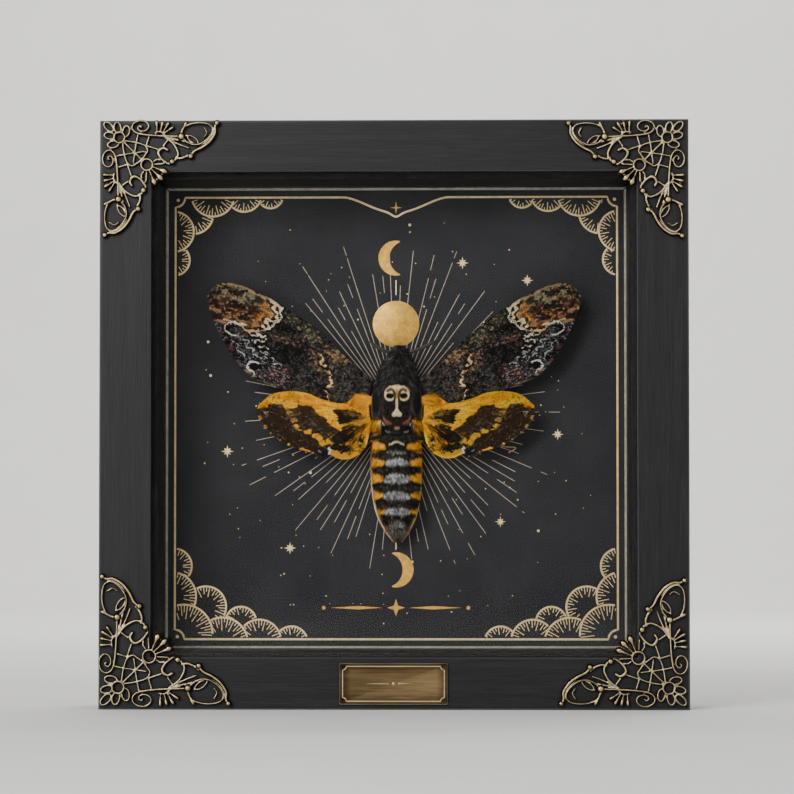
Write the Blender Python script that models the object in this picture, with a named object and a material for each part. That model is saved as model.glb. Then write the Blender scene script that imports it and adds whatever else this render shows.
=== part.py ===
"""A hawkmoth specimen with spread wings, mounted on a dark card in a glazed black box frame.

Units are metres. +Z is up, the frame's glazed front faces -Y, and the frame stands on its lower
edge at z = 0. Depths are measured from the moulding's front face towards the back.
"""

import math

import bmesh
import bpy
import numpy as np
from mathutils import Matrix, Vector

MM = 0.001
GAP = 0.3 * MM

# Frame moulding
FRAME_SIDE = 170 * MM
FRAME_DEPTH = 34 * MM
FACE_WIDTH = 15 * MM
LIP_DEPTH = 4 * MM
REBATE = 3 * MM
OUTER_CHAMFER = 0.6 * MM
LIP_CHAMFER = 0.3 * MM
ORNAMENT_PROUD = 2.05 * MM

# What lies in the rebate, as front and back depths
GLASS_DEPTHS = (LIP_DEPTH + GAP, LIP_DEPTH + GAP + 2.0 * MM)
SPACER_DEPTHS = (GLASS_DEPTHS[1] + GAP, 26.1 * MM)
FILLET_DEPTHS = (SPACER_DEPTHS[1] + GAP, 27.7 * MM)
CARD_DEPTHS = (FILLET_DEPTHS[1] + GAP, 29.0 * MM)
BACKBOARD_DEPTHS = (CARD_DEPTHS[1] + GAP, 32.3 * MM)
POINT_DEPTHS = (BACKBOARD_DEPTHS[1] + GAP, BACKBOARD_DEPTHS[1] + GAP + 0.7 * MM)
SPACER_OPENING = 137 * MM
FILLET_OPENING = 135 * MM
FILLET_BEVEL = 0.6 * MM

# Name plate
PLAQUE_SIZE = (31 * MM, 11.8 * MM)
PLAQUE_THICKNESS = 0.7 * MM
PLAQUE_RIM_INSET = 0.75 * MM
PLAQUE_RIM_WIDTH = 0.55 * MM
PLAQUE_RIM_HEIGHT = 0.35 * MM
PLAQUE_NOTCH = 1.5 * MM

# Moth: the place of its thorax centre, and the depth of the wing roots
MOTH_HEIGHT = 90 * MM
MOTH_SHIFT = 0.4 * MM
FOREWING_DEPTH = 22.1 * MM
HINDWING_DEPTH = 20.4 * MM
WING_THICKNESS = 0.5 * MM
VEIN_HEIGHT = 0.2 * MM

# Values worked out from those above
HALF_SIDE = FRAME_SIDE / 2
REBATE_HALF = HALF_SIDE - FACE_WIDTH + REBATE
INNER_HALF = REBATE_HALF - GAP
FRONT_Y = -(FRAME_DEPTH - ORNAMENT_PROUD) / 2
FRAME_CENTRE = Vector((0.0, 0.0, HALF_SIDE))
MOTH_ORIGIN = Vector((MOTH_SHIFT, FRONT_Y, MOTH_HEIGHT))


def clear_scene():
    for obj in list(bpy.data.objects):
        bpy.data.objects.remove(obj, do_unlink=True)


def material(name, colour, roughness, metallic=0.0, alpha=1.0):
    made = bpy.data.materials.new(name)
    made.use_nodes = True
    shader = made.node_tree.nodes["Principled BSDF"]
    shader.inputs["Base Color"].default_value = (*colour, 1.0)
    shader.inputs["Roughness"].default_value = roughness
    shader.inputs["Metallic"].default_value = metallic
    shader.inputs["Alpha"].default_value = alpha
    return made


def materials():
    """The finishes, as linear base colours read by eye."""
    return {
        "black_wood": material("black_wood", (0.028, 0.028, 0.030), 0.5),
        "glass": material("clear_glass", (0.9, 0.95, 0.95), 0.02, alpha=0.1),
        "spacer": material("spacer_black", (0.012, 0.012, 0.013), 0.6),
        "fillet": material("fillet_black", (0.02, 0.02, 0.021), 0.6),
        "card": material("printed_card", (0.022, 0.022, 0.026), 0.8),
        "backboard": material("backboard", (0.05, 0.045, 0.04), 0.8),
        "brass": material("antique_brass", (0.36, 0.27, 0.15), 0.4, metallic=1.0),
        "steel": material("zinc_steel", (0.5, 0.5, 0.5), 0.35, metallic=1.0),
        "fur": material("dark_fur", (0.02, 0.017, 0.013), 0.9),
        "abdomen": material("banded_abdomen", (0.09, 0.06, 0.02), 0.85),
        "forewing": material("mottled_forewing", (0.05, 0.035, 0.025), 0.8),
        "hindwing": material("yellow_hindwing", (0.42, 0.20, 0.02), 0.8),
        "horn": material("dark_horn", (0.03, 0.022, 0.016), 0.4),
    }


def mesh_object(name, points, faces, finish):
    """A new mesh object from points in metres and faces that point outwards."""
    mesh = bpy.data.meshes.new(name)
    mesh.from_pydata([tuple(map(float, p)) for p in points], [], [tuple(map(int, f)) for f in faces])
    mesh.validate()
    mesh.materials.append(finish)
    obj = bpy.data.objects.new(name, mesh)
    bpy.context.scene.collection.objects.link(obj)
    return obj


def face_outwards(obj):
    """Turns a closed mesh's faces outwards."""
    shell = bmesh.new()
    shell.from_mesh(obj.data)
    bmesh.ops.recalc_face_normals(shell, faces=shell.faces)
    shell.to_mesh(obj.data)
    shell.free()


def shade_smooth(obj, angle=0.7):
    obj.data.shade_smooth()
    obj.data.set_sharp_from_angle(angle=angle)


def keep_largest_shell(obj):
    """Drops all but the closed surface of most volume, which a union can leave beside crumbs."""
    shell = bmesh.new()
    shell.from_mesh(obj.data)
    bmesh.ops.triangulate(shell, faces=shell.faces)
    unseen = set(shell.faces)
    parts = []
    while unseen:
        front = [unseen.pop()]
        part = list(front)
        while front:
            face = front.pop()
            for edge in face.edges:
                for other in edge.link_faces:
                    if other in unseen:
                        unseen.remove(other)
                        front.append(other)
                        part.append(other)
        parts.append(part)

    def volume(part):
        return sum(f.verts[0].co.dot(f.verts[1].co.cross(f.verts[2].co)) for f in part)

    parts.sort(key=volume, reverse=True)
    for part in parts[1:]:
        bmesh.ops.delete(shell, geom=part, context="FACES")
    loose = [v for v in shell.verts if not v.link_faces]
    bmesh.ops.delete(shell, geom=loose, context="VERTS")
    shell.to_mesh(obj.data)
    shell.free()


def join_pieces(name, pieces, solver="MANIFOLD"):
    """One closed body from closed pieces that overlap: a Boolean union on a collection, applied."""
    base = pieces[0]
    others = bpy.data.collections.new(name + "_pieces")
    for piece in pieces[1:]:
        others.objects.link(piece)
    union = base.modifiers.new("union", "BOOLEAN")
    union.operation = "UNION"
    union.operand_type = "COLLECTION"
    union.collection = others
    union.solver = solver
    bpy.context.view_layer.update()
    graph = bpy.context.evaluated_depsgraph_get()
    joined = bpy.data.meshes.new_from_object(base.evaluated_get(graph))
    base.modifiers.clear()
    base.data = joined
    for piece in pieces[1:]:
        bpy.data.objects.remove(piece, do_unlink=True)
    bpy.data.collections.remove(others)
    base.name = name
    joined.name = name
    keep_largest_shell(base)
    return base


def cut_away(obj, cutter):
    """Subtracts a closed cutter from an object, and removes the cutter."""
    cut = obj.modifiers.new("cut", "BOOLEAN")
    cut.operation = "DIFFERENCE"
    cut.object = cutter
    cut.solver = "MANIFOLD"
    bpy.context.view_layer.update()
    graph = bpy.context.evaluated_depsgraph_get()
    trimmed = bpy.data.meshes.new_from_object(obj.evaluated_get(graph))
    obj.modifiers.clear()
    obj.data = trimmed
    bpy.data.objects.remove(cutter, do_unlink=True)
    keep_largest_shell(obj)


def box(name, low, high, finish):
    """A box between two corners."""
    points = [(x, y, z) for z in (low[2], high[2]) for y in (low[1], high[1]) for x in (low[0], high[0])]
    faces = [(0, 2, 3, 1), (4, 5, 7, 6), (0, 1, 5, 4), (2, 6, 7, 3), (0, 4, 6, 2), (1, 3, 7, 5)]
    return mesh_object(name, points, faces, finish)


def mitred_bar(name, profile, half_side, turn, finish):
    """One side of a square: a profile of (inset, depth) points run along X and cut at 45 degrees.

    The bar is made as the top side and turned about the frame's centre by a number of quarter turns.
    """
    mitre = GAP / 2 * math.sqrt(2)
    count = len(profile)
    points = []
    for sign in (-1, 1):
        for inset, depth in profile:
            reach = half_side - inset - mitre
            points.append((sign * reach, FRONT_Y + depth, half_side - inset))
    faces = [(i, (i + 1) % count, (i + 1) % count + count, i + count) for i in range(count)]
    faces.append(tuple(reversed(range(count))))
    faces.append(tuple(range(count, 2 * count)))
    bar = mesh_object(name, points, faces, finish)
    face_outwards(bar)
    bar.rotation_euler = (0.0, turn * math.pi / 2, 0.0)
    bar.location = FRAME_CENTRE
    return bar


SIDES = ("top", "right", "bottom", "left")


def build_moulding(finish):
    """The four mitred sides of the frame: a flat face, a lip over the glass and a rebate behind it."""
    profile = [
        (0.0, OUTER_CHAMFER),
        (OUTER_CHAMFER, 0.0),
        (FACE_WIDTH - LIP_CHAMFER, 0.0),
        (FACE_WIDTH, LIP_CHAMFER),
        (FACE_WIDTH, LIP_DEPTH),
        (FACE_WIDTH - REBATE, LIP_DEPTH),
        (FACE_WIDTH - REBATE, FRAME_DEPTH),
        (0.0, FRAME_DEPTH),
    ]
    for turn, side in enumerate(SIDES):
        mitred_bar("moulding_" + side, profile, HALF_SIDE, turn, finish)


def build_strips(name, depths, opening, bevel, finish):
    """Four mitred strips that line the box, their inner edge bevelled towards the front."""
    front, back = depths
    inner = INNER_HALF - opening / 2
    profile = [(0.0, front), (inner - bevel, front), (inner, front + bevel), (inner, back), (0.0, back)]
    for turn, side in enumerate(SIDES):
        mitred_bar(name + "_" + side, profile, INNER_HALF, turn, finish)


def build_board(name, depths, finish):
    """A square board that fills the rebate between two depths."""
    low = (-INNER_HALF, FRONT_Y + depths[0], HALF_SIDE - INNER_HALF)
    high = (INNER_HALF, FRONT_Y + depths[1], HALF_SIDE + INNER_HALF)
    return box(name, low, high, finish)


def build_back_hardware(finish):
    """Flat points that hold the backboard in, and a sawtooth hanger below the top side."""
    width = 6 * MM
    reach = 8 * MM
    for turn, side in enumerate(SIDES):
        half = INNER_HALF
        low = (-width / 2, FRONT_Y + POINT_DEPTHS[0], half - reach)
        high = (width / 2, FRONT_Y + POINT_DEPTHS[1], half)
        point = box("point_" + side, low, high, finish)
        point.location = FRAME_CENTRE
        point.rotation_euler = (0.0, turn * math.pi / 2, 0.0)
    length = 44 * MM
    height = 7 * MM
    teeth = 9
    tooth = 1.2 * MM
    top = HALF_SIDE + INNER_HALF - reach - 3 * MM
    outline = [(-length / 2, top), (-length / 2, top - height), (-length / 3, top - height)]
    for i in range(teeth):
        left = -length / 3 + (2 * length / 3) * i / teeth
        pitch = (2 * length / 3) / teeth
        outline.append((left + pitch / 2, top - height + tooth))
        outline.append((left + pitch, top - height))
    outline += [(length / 2, top - height), (length / 2, top)]
    plate("hanger", outline, POINT_DEPTHS, finish)


def plate(name, outline, depths, finish):
    """A flat plate: an outline of (x, z) points taken from one depth to another."""
    count = len(outline)
    points = [(x, FRONT_Y + d, z) for d in depths for x, z in outline]
    faces = [(i, (i + 1) % count, (i + 1) % count + count, i + count) for i in range(count)]
    faces.append(tuple(reversed(range(count))))
    faces.append(tuple(range(count, 2 * count)))
    made = mesh_object(name, points, faces, finish)
    face_outwards(made)
    return made


def notched_rectangle(half_width, half_height, notch, steps=3):
    """A rectangle whose corners are hollow quarter rounds, as (x, z) points from its centre."""
    points = []
    for quarter in range(4):
        sx, sz = [(1, 1), (-1, 1), (-1, -1), (1, -1)][quarter]
        corner = (sx * half_width, sz * half_height)
        for step in range(steps + 1):
            share = step / steps
            angle = share * math.pi / 2
            along, across = notch * math.sin(angle), notch * math.cos(angle)
            if quarter % 2:
                along, across = across, along
            points.append((corner[0] - sx * along, corner[1] - sz * across))
    return points


def build_plaque(finish):
    """The brass name plate: a bare plate with a raised rim whose corners are hollow."""
    height = FACE_WIDTH / 2
    back = -GAP
    front = back - PLAQUE_THICKNESS
    half = (PLAQUE_SIZE[0] / 2, PLAQUE_SIZE[1] / 2)
    low = (-half[0], FRONT_Y + front, height - half[1])
    high = (half[0], FRONT_Y + back, height + half[1])
    base = box("plaque", low, high, finish)
    outer = notched_rectangle(half[0] - PLAQUE_RIM_INSET, half[1] - PLAQUE_RIM_INSET, PLAQUE_NOTCH)
    inset = PLAQUE_RIM_INSET + PLAQUE_RIM_WIDTH
    inner = notched_rectangle(half[0] - inset, half[1] - inset, PLAQUE_NOTCH)
    count = len(outer)
    sunk = front + PLAQUE_THICKNESS / 2
    proud = front - PLAQUE_RIM_HEIGHT
    points = []
    for depth in (sunk, proud):
        for ring in (outer, inner):
            points += [(x, FRONT_Y + depth, height + z) for x, z in ring]
    faces = []
    for i in range(count):
        j = (i + 1) % count
        faces.append((i, j, j + count, i + count))
        faces.append((i + 2 * count, i + 3 * count, j + 3 * count, j + 2 * count))
        faces.append((i, i + 2 * count, j + 2 * count, j))
        faces.append((i + count, j + count, j + 3 * count, i + 3 * count))
    rim = mesh_object("plaque_rim", points, faces, finish)
    face_outwards(rim)
    return join_pieces("plaque", [base, rim])


def smooth_path(knots, count):
    """Points on a Catmull-Rom curve through the knots, at even steps of its parameter."""
    knots = np.array(knots, float)
    padded = np.vstack([2 * knots[0] - knots[1], knots, 2 * knots[-1] - knots[-2]])
    at = np.linspace(0, len(knots) - 1, count)
    index = np.minimum(at.astype(int), len(knots) - 2)
    t = (at - index)[:, None]
    p0, p1, p2, p3 = (padded[index + k] for k in range(4))
    return 0.5 * (
        2 * p1 + (p2 - p0) * t + (2 * p0 - 5 * p1 + 4 * p2 - p3) * t**2 + (3 * p1 - p0 - 3 * p2 + p3) * t**3
    )


def even_path(knots, count):
    """Points at even distances along the Catmull-Rom curve through the knots."""
    fine = smooth_path(knots, 40 * len(knots))
    gone = np.concatenate([[0], np.cumsum(np.linalg.norm(np.diff(fine, axis=0), axis=1))])
    wanted = np.linspace(0, gone[-1], count)
    return np.column_stack([np.interp(wanted, gone, fine[:, k]) for k in range(fine.shape[1])])


class CornerCasting:
    """One pierced corner ornament: cast strokes in (a, b), which run from the frame's outer corner.

    Each stroke is a ridge with a flat back. Every back lies a hair deeper than the one before, so
    that no two of them share a plane when they are joined. All lengths here are in millimetres.
    """

    STEP = 0.006
    WIRE = 0.75
    THIN = 0.6

    def __init__(self, name, corner_signs, size, offset, finish):
        self.name = name
        self.signs = corner_signs
        self.size = size
        self.offset = offset
        self.finish = finish
        self.pieces = []

    def place(self, a, b, height):
        """World point of (a, b) at a height above the moulding's face."""
        sx, sz = self.signs
        x = sx * (HALF_SIDE - (a * self.size + self.offset[0]) * MM)
        z = HALF_SIDE + sz * (HALF_SIDE - (b * self.size + self.offset[1]) * MM)
        return (x, FRONT_Y - height * MM, z)

    def back(self):
        return GAP / MM + self.STEP * len(self.pieces)

    def add(self, points, faces):
        piece = mesh_object(f"{self.name}_{len(self.pieces)}", points, faces, self.finish)
        face_outwards(piece)
        self.pieces.append(piece)

    def ridge(self, path, widths, height, closed=False):
        """A ridge of triangular section along a path of (a, b) points."""
        path = np.array(path, float)
        count = len(path)
        widths = np.interp(np.linspace(0, 1, count), np.linspace(0, 1, len(widths)), widths)
        if closed:
            along = np.roll(path, -1, 0) - np.roll(path, 1, 0)
        else:
            along = np.gradient(path, axis=0)
        along /= np.linalg.norm(along, axis=1)[:, None]
        across = np.column_stack([-along[:, 1], along[:, 0]])
        crest = GAP / MM + height * (0.55 + 0.45 * widths / widths.max())
        points = []
        for k in range(count):
            for side, up in ((-1, self.back()), (0, crest[k]), (1, self.back())):
                a, b = path[k] + side * widths[k] / 2 * across[k]
                points.append(self.place(a, b, up))
        faces = []
        for k in range(count if closed else count - 1):
            n = (k + 1) % count
            for j in range(3):
                i = (j + 1) % 3
                faces.append((3 * k + j, 3 * k + i, 3 * n + i, 3 * n + j))
        if not closed:
            faces.append((0, 1, 2))
            faces.append((3 * count - 1, 3 * count - 2, 3 * count - 3))
        self.add(points, faces)

    def bead(self, a, b, radius, height, sides=6):
        """A low domed bead, its crown this high above the gap that the casting keeps."""
        low = self.back()
        high = GAP / MM + height
        points = [self.place(a, b, low), self.place(a, b, high)]
        for share, up in ((1.0, low), (0.78, low + 0.7 * (high - low))):
            for k in range(sides):
                angle = 2 * math.pi * k / sides
                points.append(self.place(a + share * radius * math.cos(angle), b + share * radius * math.sin(angle), up))
        faces = []
        for k in range(sides):
            n = (k + 1) % sides
            faces.append((0, 2 + n, 2 + k))
            faces.append((2 + k, 2 + n, 2 + sides + n, 2 + sides + k))
            faces.append((2 + sides + k, 2 + sides + n, 1))
        self.add(points, faces)

    def ring(self, a, b, ra, rb, width, height, sides=9, turn=0.0):
        """A closed oval of wire, its long axis turned by an angle in radians."""
        path = []
        for k in range(sides):
            t = 2 * math.pi * k / sides
            long, wide = ra * math.cos(t), rb * math.sin(t)
            path.append((a + long * math.cos(turn) - wide * math.sin(turn), b + long * math.sin(turn) + wide * math.cos(turn)))
        self.ridge(path, [width], height, closed=True)

    def club(self, start, end, narrow, wide, height):
        """A thin stalk that swells to a round end."""
        start, end = np.array(start, float), np.array(end, float)
        path = [start + (end - start) * share for share in (0.0, 0.5, 0.85, 1.0)]
        self.ridge(path, [narrow, narrow * 1.1, wide, wide * 0.45], height)

    def volute(self, side):
        """The oval coil at the root of the stem."""
        path = []
        for degrees in np.linspace(90, 590, 11):
            t = math.radians(degrees)
            share = 1 - 0.72 * max(0.0, (degrees - 300) / 300)
            path.append(side(11.65 + 2.55 * share * math.cos(t), 2.5 + 1.85 * share * math.sin(t)))
        self.ridge(path, [self.WIRE], 1.25)

    def arm(self, side):
        """Coil, stem, open leaf, hooks and beads along one side of the corner."""

        def through(knots, count):
            return smooth_path([side(a, b) for a, b in knots], count)

        self.volute(side)
        self.ridge(through([(11.3, 4.4), (14.0, 4.75), (18.0, 5.0), (23.0, 5.15)], 4), [0.85, 0.8], 1.3)
        for root, tip in (((16.3, 4.9), (16.0, 1.0)), ((16.7, 4.8), (17.7, 1.3)), ((17.1, 4.9), (19.6, 1.5))):
            self.club(side(*root), side(*tip), 0.6, 1.15, 1.4)
        self.club(side(23.1, 4.9), side(24.8, 0.9), 0.55, 1.1, 1.5)
        self.bead(*side(23.3, 5.2), 1.0, 1.75)
        leaf = [side(27.9 + 3.9 * math.cos(t), 4.8 + 3.2 * math.sin(t)) for t in np.linspace(0, 2 * math.pi, 10)[:-1]]
        self.ridge(leaf, [1.0], 1.4, closed=True)
        band = [(32.9, 1.9), (33.0, 4.0), (31.5, 6.6), (29.0, 8.4), (26.9, 9.6), (26.0, 11.2)]
        self.ridge(through(band, 7), [1.2, 0.9, 1.1, 1.3, 1.2, 1.5], 1.6)
        self.bead(*side(33.5, 1.3), 0.85, 1.75)
        self.ridge(through([(26.2, 9.9), (24.5, 11.2), (21.6, 11.7)], 3), [0.8, 1.0, 0.9], 1.3)
        self.bead(*side(20.7, 12.4), 0.95, 1.6)
        self.ridge(through([(18.0, 5.1), (20.7, 6.8), (22.3, 9.6), (21.4, 12.0)], 6), [self.WIRE], 1.2)
        hook = [(19.2, 12.9), (17.6, 11.6), (16.7, 10.0), (17.2, 8.9), (18.9, 8.6)]
        self.ridge(through(hook, 6), [0.7, 0.8, 1.0, 1.1, 0.9], 1.3)
        self.ridge([side(19.7, 5.6), side(25.3, 7.5)], [self.THIN], 1.1)
        lobe = [(6.7, 6.3), (10.2, 6.8), (12.9, 7.8), (13.4, 9.6), (12.3, 11.9)]
        self.ridge(through(lobe, 6), [self.THIN], 1.1)
        self.ridge([side(13.9, 4.9), side(13.1, 8.1)], [self.THIN], 1.05)
        self.ridge([side(10.8, 4.6), side(9.9, 10.3)], [self.THIN], 1.05)
        self.ridge([side(12.8, 7.7), side(17.2, 9.0)], [self.THIN], 1.05)

    def build(self):
        """All strokes of the casting, joined."""
        self.arm(lambda a, b: (a, b))
        self.arm(lambda a, b: (b, a))
        self.ring(5.4, 5.4, 1.6, 1.6, self.WIRE, 1.4)
        self.ring(2.3, 2.3, 1.75, 1.0, self.THIN, 1.2, sides=6, turn=math.radians(45))
        for centre, turn in (((4.9, 2.7), 80), ((7.5, 3.6), 98)):
            self.ring(*centre, 1.6, 1.0, self.THIN, 1.2, sides=6, turn=math.radians(turn))
            self.ring(*centre[::-1], 1.6, 1.0, self.THIN, 1.2, sides=6, turn=math.radians(90 - turn))
        self.ring(13.4, 13.4, 1.7, 1.7, self.WIRE, 1.4)
        for degrees, reach, wide in ((45, 5.6, 1.8), (24, 5.6, 1.8), (66, 5.6, 1.8), (1, 5.2, 0.8), (89, 5.2, 0.8)):
            t = math.radians(degrees)
            start = (13.4 + 1.6 * math.cos(t), 13.4 + 1.6 * math.sin(t))
            end = (13.4 + reach * math.cos(t), 13.4 + reach * math.sin(t))
            self.club(start, end, 0.55, wide, 1.6)
        self.ridge([(6.3, 6.3), (12.4, 12.4)], [self.THIN], 1.1)
        return join_pieces(self.name, self.pieces)


# Each casting's corner, its size, and its shift along the two edges in millimetres.
# They are fitted by hand, and the lower two are a larger size of the same pattern.
CORNERS = {
    "corner_top_left": ((-1, 1), 1.0, (0.4, -0.3)),
    "corner_top_right": ((1, 1), 1.005, (0.8, 0.1)),
    "corner_bottom_left": ((-1, -1), 1.125, (-0.25, 0.35)),
    "corner_bottom_right": ((1, -1), 1.09, (0.3, 0.45)),
}


def build_corners(finish):
    for name, (signs, size, offset) in CORNERS.items():
        CornerCasting(name, signs, size, offset, finish).build()


# Body of the moth. Heights are along the body from the thorax centre, head up, in millimetres:
# height, half width, half depth, depth of the section's centre behind the face.
HEAD_SECTIONS = [
    (9.5, 4.9, 3.9, 21.8),
    (10.8, 4.1, 3.6, 21.9),
    (12.2, 3.2, 3.2, 22.0),
    (13.7, 2.35, 2.6, 22.1),
    (15.1, 1.5, 1.8, 22.2),
    (16.2, 0.6, 0.8, 22.3),
]
THORAX_SECTIONS = [
    (-9.3, 3.6, 3.2, 21.9),
    (-8.5, 5.6, 4.6, 21.7),
    (-7.0, 7.0, 5.6, 21.5),
    (-4.6, 7.6, 6.1, 21.4),
    (-1.5, 7.8, 6.3, 21.4),
    (1.8, 7.5, 6.2, 21.4),
    (4.6, 6.9, 5.7, 21.5),
    (7.0, 6.0, 5.0, 21.7),
    (8.4, 5.3, 4.3, 21.8),
    (9.1, 4.9, 3.9, 21.8),
]
ABDOMEN_KNOTS = [
    (-9.6, 3.8, 3.3, 21.9),
    (-10.6, 6.0, 4.6, 21.9),
    (-12.2, 7.3, 5.4, 21.9),
    (-16.5, 7.6, 5.6, 21.9),
    (-21.5, 7.45, 5.5, 22.0),
    (-26.5, 7.2, 5.3, 22.1),
    (-30.5, 6.8, 5.0, 22.3),
    (-33.8, 5.9, 4.5, 22.6),
    (-36.8, 4.4, 3.7, 23.0),
    (-39.6, 2.6, 2.6, 23.5),
    (-41.6, 1.2, 1.3, 23.9),
    (-42.2, 0.5, 0.6, 24.1),
]
SEGMENT_ENDS = (-15.2, -20.1, -25.1, -29.9, -34.3, -38.2)
SEGMENT_STEP = 0.28


def section_at(sections, height):
    """Half width, half depth and centre depth at a height, between the sections that are given."""
    table = np.array(sorted(sections), float)
    return [float(np.interp(height, table[:, 0], table[:, k])) for k in (1, 2, 3)]


def body_bend(height):
    """How far the body's middle leans to the right at a height: both of its ends curve that way."""
    return 0.7 * (height / 16.2) ** 2 if height > 0 else 0.8 * (-height / 42.0) ** 3


def beside_body(sections, height, degrees, reach):
    """A point (x, depth, height) this far off the body's side, 0 degrees outwards and 90 at its back."""
    half_width, half_depth, depth = section_at(sections, height)
    t = math.radians(degrees)
    normal = Vector((half_depth * math.cos(t), half_width * math.sin(t))).normalized()
    x = half_width * math.cos(t) + reach * normal[0]
    y = depth + half_depth * math.sin(t) + reach * normal[1]
    return (x, y, height)


def loft(name, sections, finish, sides=20):
    """A closed body through oval sections stacked along Z."""
    points = []
    for height, half_width, half_depth, depth in sections:
        for k in range(sides):
            angle = 2 * math.pi * k / sides
            x = body_bend(height) + half_width * math.cos(angle)
            y = depth + half_depth * math.sin(angle)
            points.append(MOTH_ORIGIN + Vector((x, y, height)) * MM)
    faces = []
    for ring in range(len(sections) - 1):
        for k in range(sides):
            n = (k + 1) % sides
            i = ring * sides
            faces.append((i + k, i + n, i + sides + n, i + sides + k))
    faces.append(tuple(reversed(range(sides))))
    last = (len(sections) - 1) * sides
    faces.append(tuple(range(last, last + sides)))
    body = mesh_object(name, points, faces, finish)
    face_outwards(body)
    shade_smooth(body)
    return body


def oval(name, centre, radii, finish, turn=0.0, segments=12, rings=7):
    """A closed egg shape, centre and radii in millimetres from the moth's origin, turned about Y."""
    shell = bmesh.new()
    bmesh.ops.create_uvsphere(shell, u_segments=segments, v_segments=rings, radius=1.0)
    scale = Matrix.Diagonal((*[r * MM for r in radii], 1.0))
    place = Matrix.Translation(MOTH_ORIGIN + Vector(centre) * MM)
    shell.transform(place @ Matrix.Rotation(turn, 4, "Y") @ scale)
    mesh = bpy.data.meshes.new(name)
    shell.to_mesh(mesh)
    shell.free()
    mesh.materials.append(finish)
    obj = bpy.data.objects.new(name, mesh)
    bpy.context.scene.collection.objects.link(obj)
    shade_smooth(obj)
    return obj


EYE_CENTRE = (2.45, 22.3, 11.8)
EYE_RADIUS = 1.6


def build_head(finish, eye_finish):
    """The head with a round socket on each side, and the eyes that sit in them."""
    head = loft("head", HEAD_SECTIONS, finish, sides=18)
    for side, sign in (("left", -1), ("right", 1)):
        centre = (body_bend(EYE_CENTRE[2]) + sign * EYE_CENTRE[0], EYE_CENTRE[1], EYE_CENTRE[2])
        socket = EYE_RADIUS + GAP / MM
        cutter = oval("socket_cutter", centre, (socket,) * 3, finish, segments=14, rings=9)
        cut_away(head, cutter)
        oval("eye_" + side, centre, (EYE_RADIUS,) * 3, eye_finish, segments=14, rings=9)
    head.name = "head"
    return head


def build_thorax(finish):
    """The thorax, with the long shoulder lobes that lie back along its upper sides."""
    thorax = loft("thorax", THORAX_SECTIONS, finish)
    lobes = []
    for sign in (-1, 1):
        centre = (sign * 5.6, 17.9, -0.4)
        lobes.append(oval("lobe", centre, (1.5, 1.1, 5.4), finish, turn=sign * 0.06, segments=10, rings=7))
    return join_pieces("thorax", [thorax, *lobes])


def build_abdomen(finish):
    """The abdomen: each segment's lower end overlaps the next with a small step."""
    sections = []
    table = sorted(ABDOMEN_KNOTS, reverse=True)
    heights = sorted({k[0] for k in table} | set(SEGMENT_ENDS), reverse=True)
    for height in heights:
        half_width, half_depth, depth = section_at(ABDOMEN_KNOTS, height)
        if height in SEGMENT_ENDS:
            sections.append((height + 0.12, half_width + SEGMENT_STEP / 2, half_depth + SEGMENT_STEP / 2, depth))
            sections.append((height - 0.12, half_width - SEGMENT_STEP / 2, half_depth - SEGMENT_STEP / 2, depth))
        else:
            sections.append((height, half_width, half_depth, depth))
    return loft("abdomen", sections, finish)


def thorax_side(height, reach=0.3):
    """How far out from the body's middle a wing root stands at a height, clear of the thorax."""
    if height < -8.6:
        return section_at(ABDOMEN_KNOTS, height)[0] + reach
    return section_at(THORAX_SECTIONS, height)[0] + reach


# Wing outlines for the right side, in millimetres from the moth's origin, as (x, height).
FOREWING_COSTA = [(14.7, 12.4), (21.2, 18.6), (29.5, 24.8), (38.6, 30.3), (46.8, 33.5), (52.0, 33.4)]
FOREWING_APEX = (54.8, 30.2)
FOREWING_MARGIN = [(54.0, 26.2), (51.0, 19.2), (46.5, 11.6)]
FOREWING_TORNUS = (41.4, 6.1)
FOREWING_TRAILING = [(12.5, -0.9), (20.0, -0.8), (27.0, 1.1), (35.3, 4.1)]
FOREWING_ROOT = (5.8, -0.8)

HINDWING_COSTA = [(12.0, 0.8), (15.8, -1.1), (21.5, 0.0), (26.5, 1.9), (31.5, 2.5), (36.8, 1.6)]
HINDWING_APEX = (40.6, -1.4)
HINDWING_MARGIN = [
    (40.8, -4.5),
    (37.4, -9.5),
    (31.6, -13.3),
    (25.2, -15.3),
    (22.6, -16.8),
    (19.7, -15.9),
    (16.8, -17.1),
    (14.0, -17.2),
]
HINDWING_LOBE = (11.5, -16.2)
HINDWING_ANAL = [(8.5, -10.5), (9.4, -13.6)]
HINDWING_ROOT = (0.6, -6.6)

# How the mounted wings differ from side to side: a turn in radians, and their length
WING_TURN = {"forewing_left": 0.004, "forewing_right": 0.016, "hindwing_left": 0.012, "hindwing_right": 0.004}
WING_STRETCH = {"left": 1.02, "right": 0.99}


def wing_edges(kind, steps_out, steps_across):
    """The four edges of a wing as arrays: root to apex, root to tornus, the root and the outer margin."""
    if kind == "forewing":
        top, low = FOREWING_ROOT
        front = [(thorax_side(top), top), *FOREWING_COSTA, FOREWING_APEX]
        back = [(thorax_side(low), low), *FOREWING_TRAILING, FOREWING_TORNUS]
        margin = [FOREWING_APEX, *FOREWING_MARGIN, FOREWING_TORNUS]
    else:
        top, low = HINDWING_ROOT
        front = [(thorax_side(top), top), *HINDWING_COSTA, HINDWING_APEX]
        back = [(thorax_side(low), low), *HINDWING_ANAL, HINDWING_LOBE]
        margin = [HINDWING_APEX, *HINDWING_MARGIN, HINDWING_LOBE]
    heights = np.linspace(top, low, steps_across)
    root = np.array([(thorax_side(h), h) for h in heights])
    return even_path(front, steps_out), even_path(back, steps_out), root, even_path(margin, steps_across)


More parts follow.
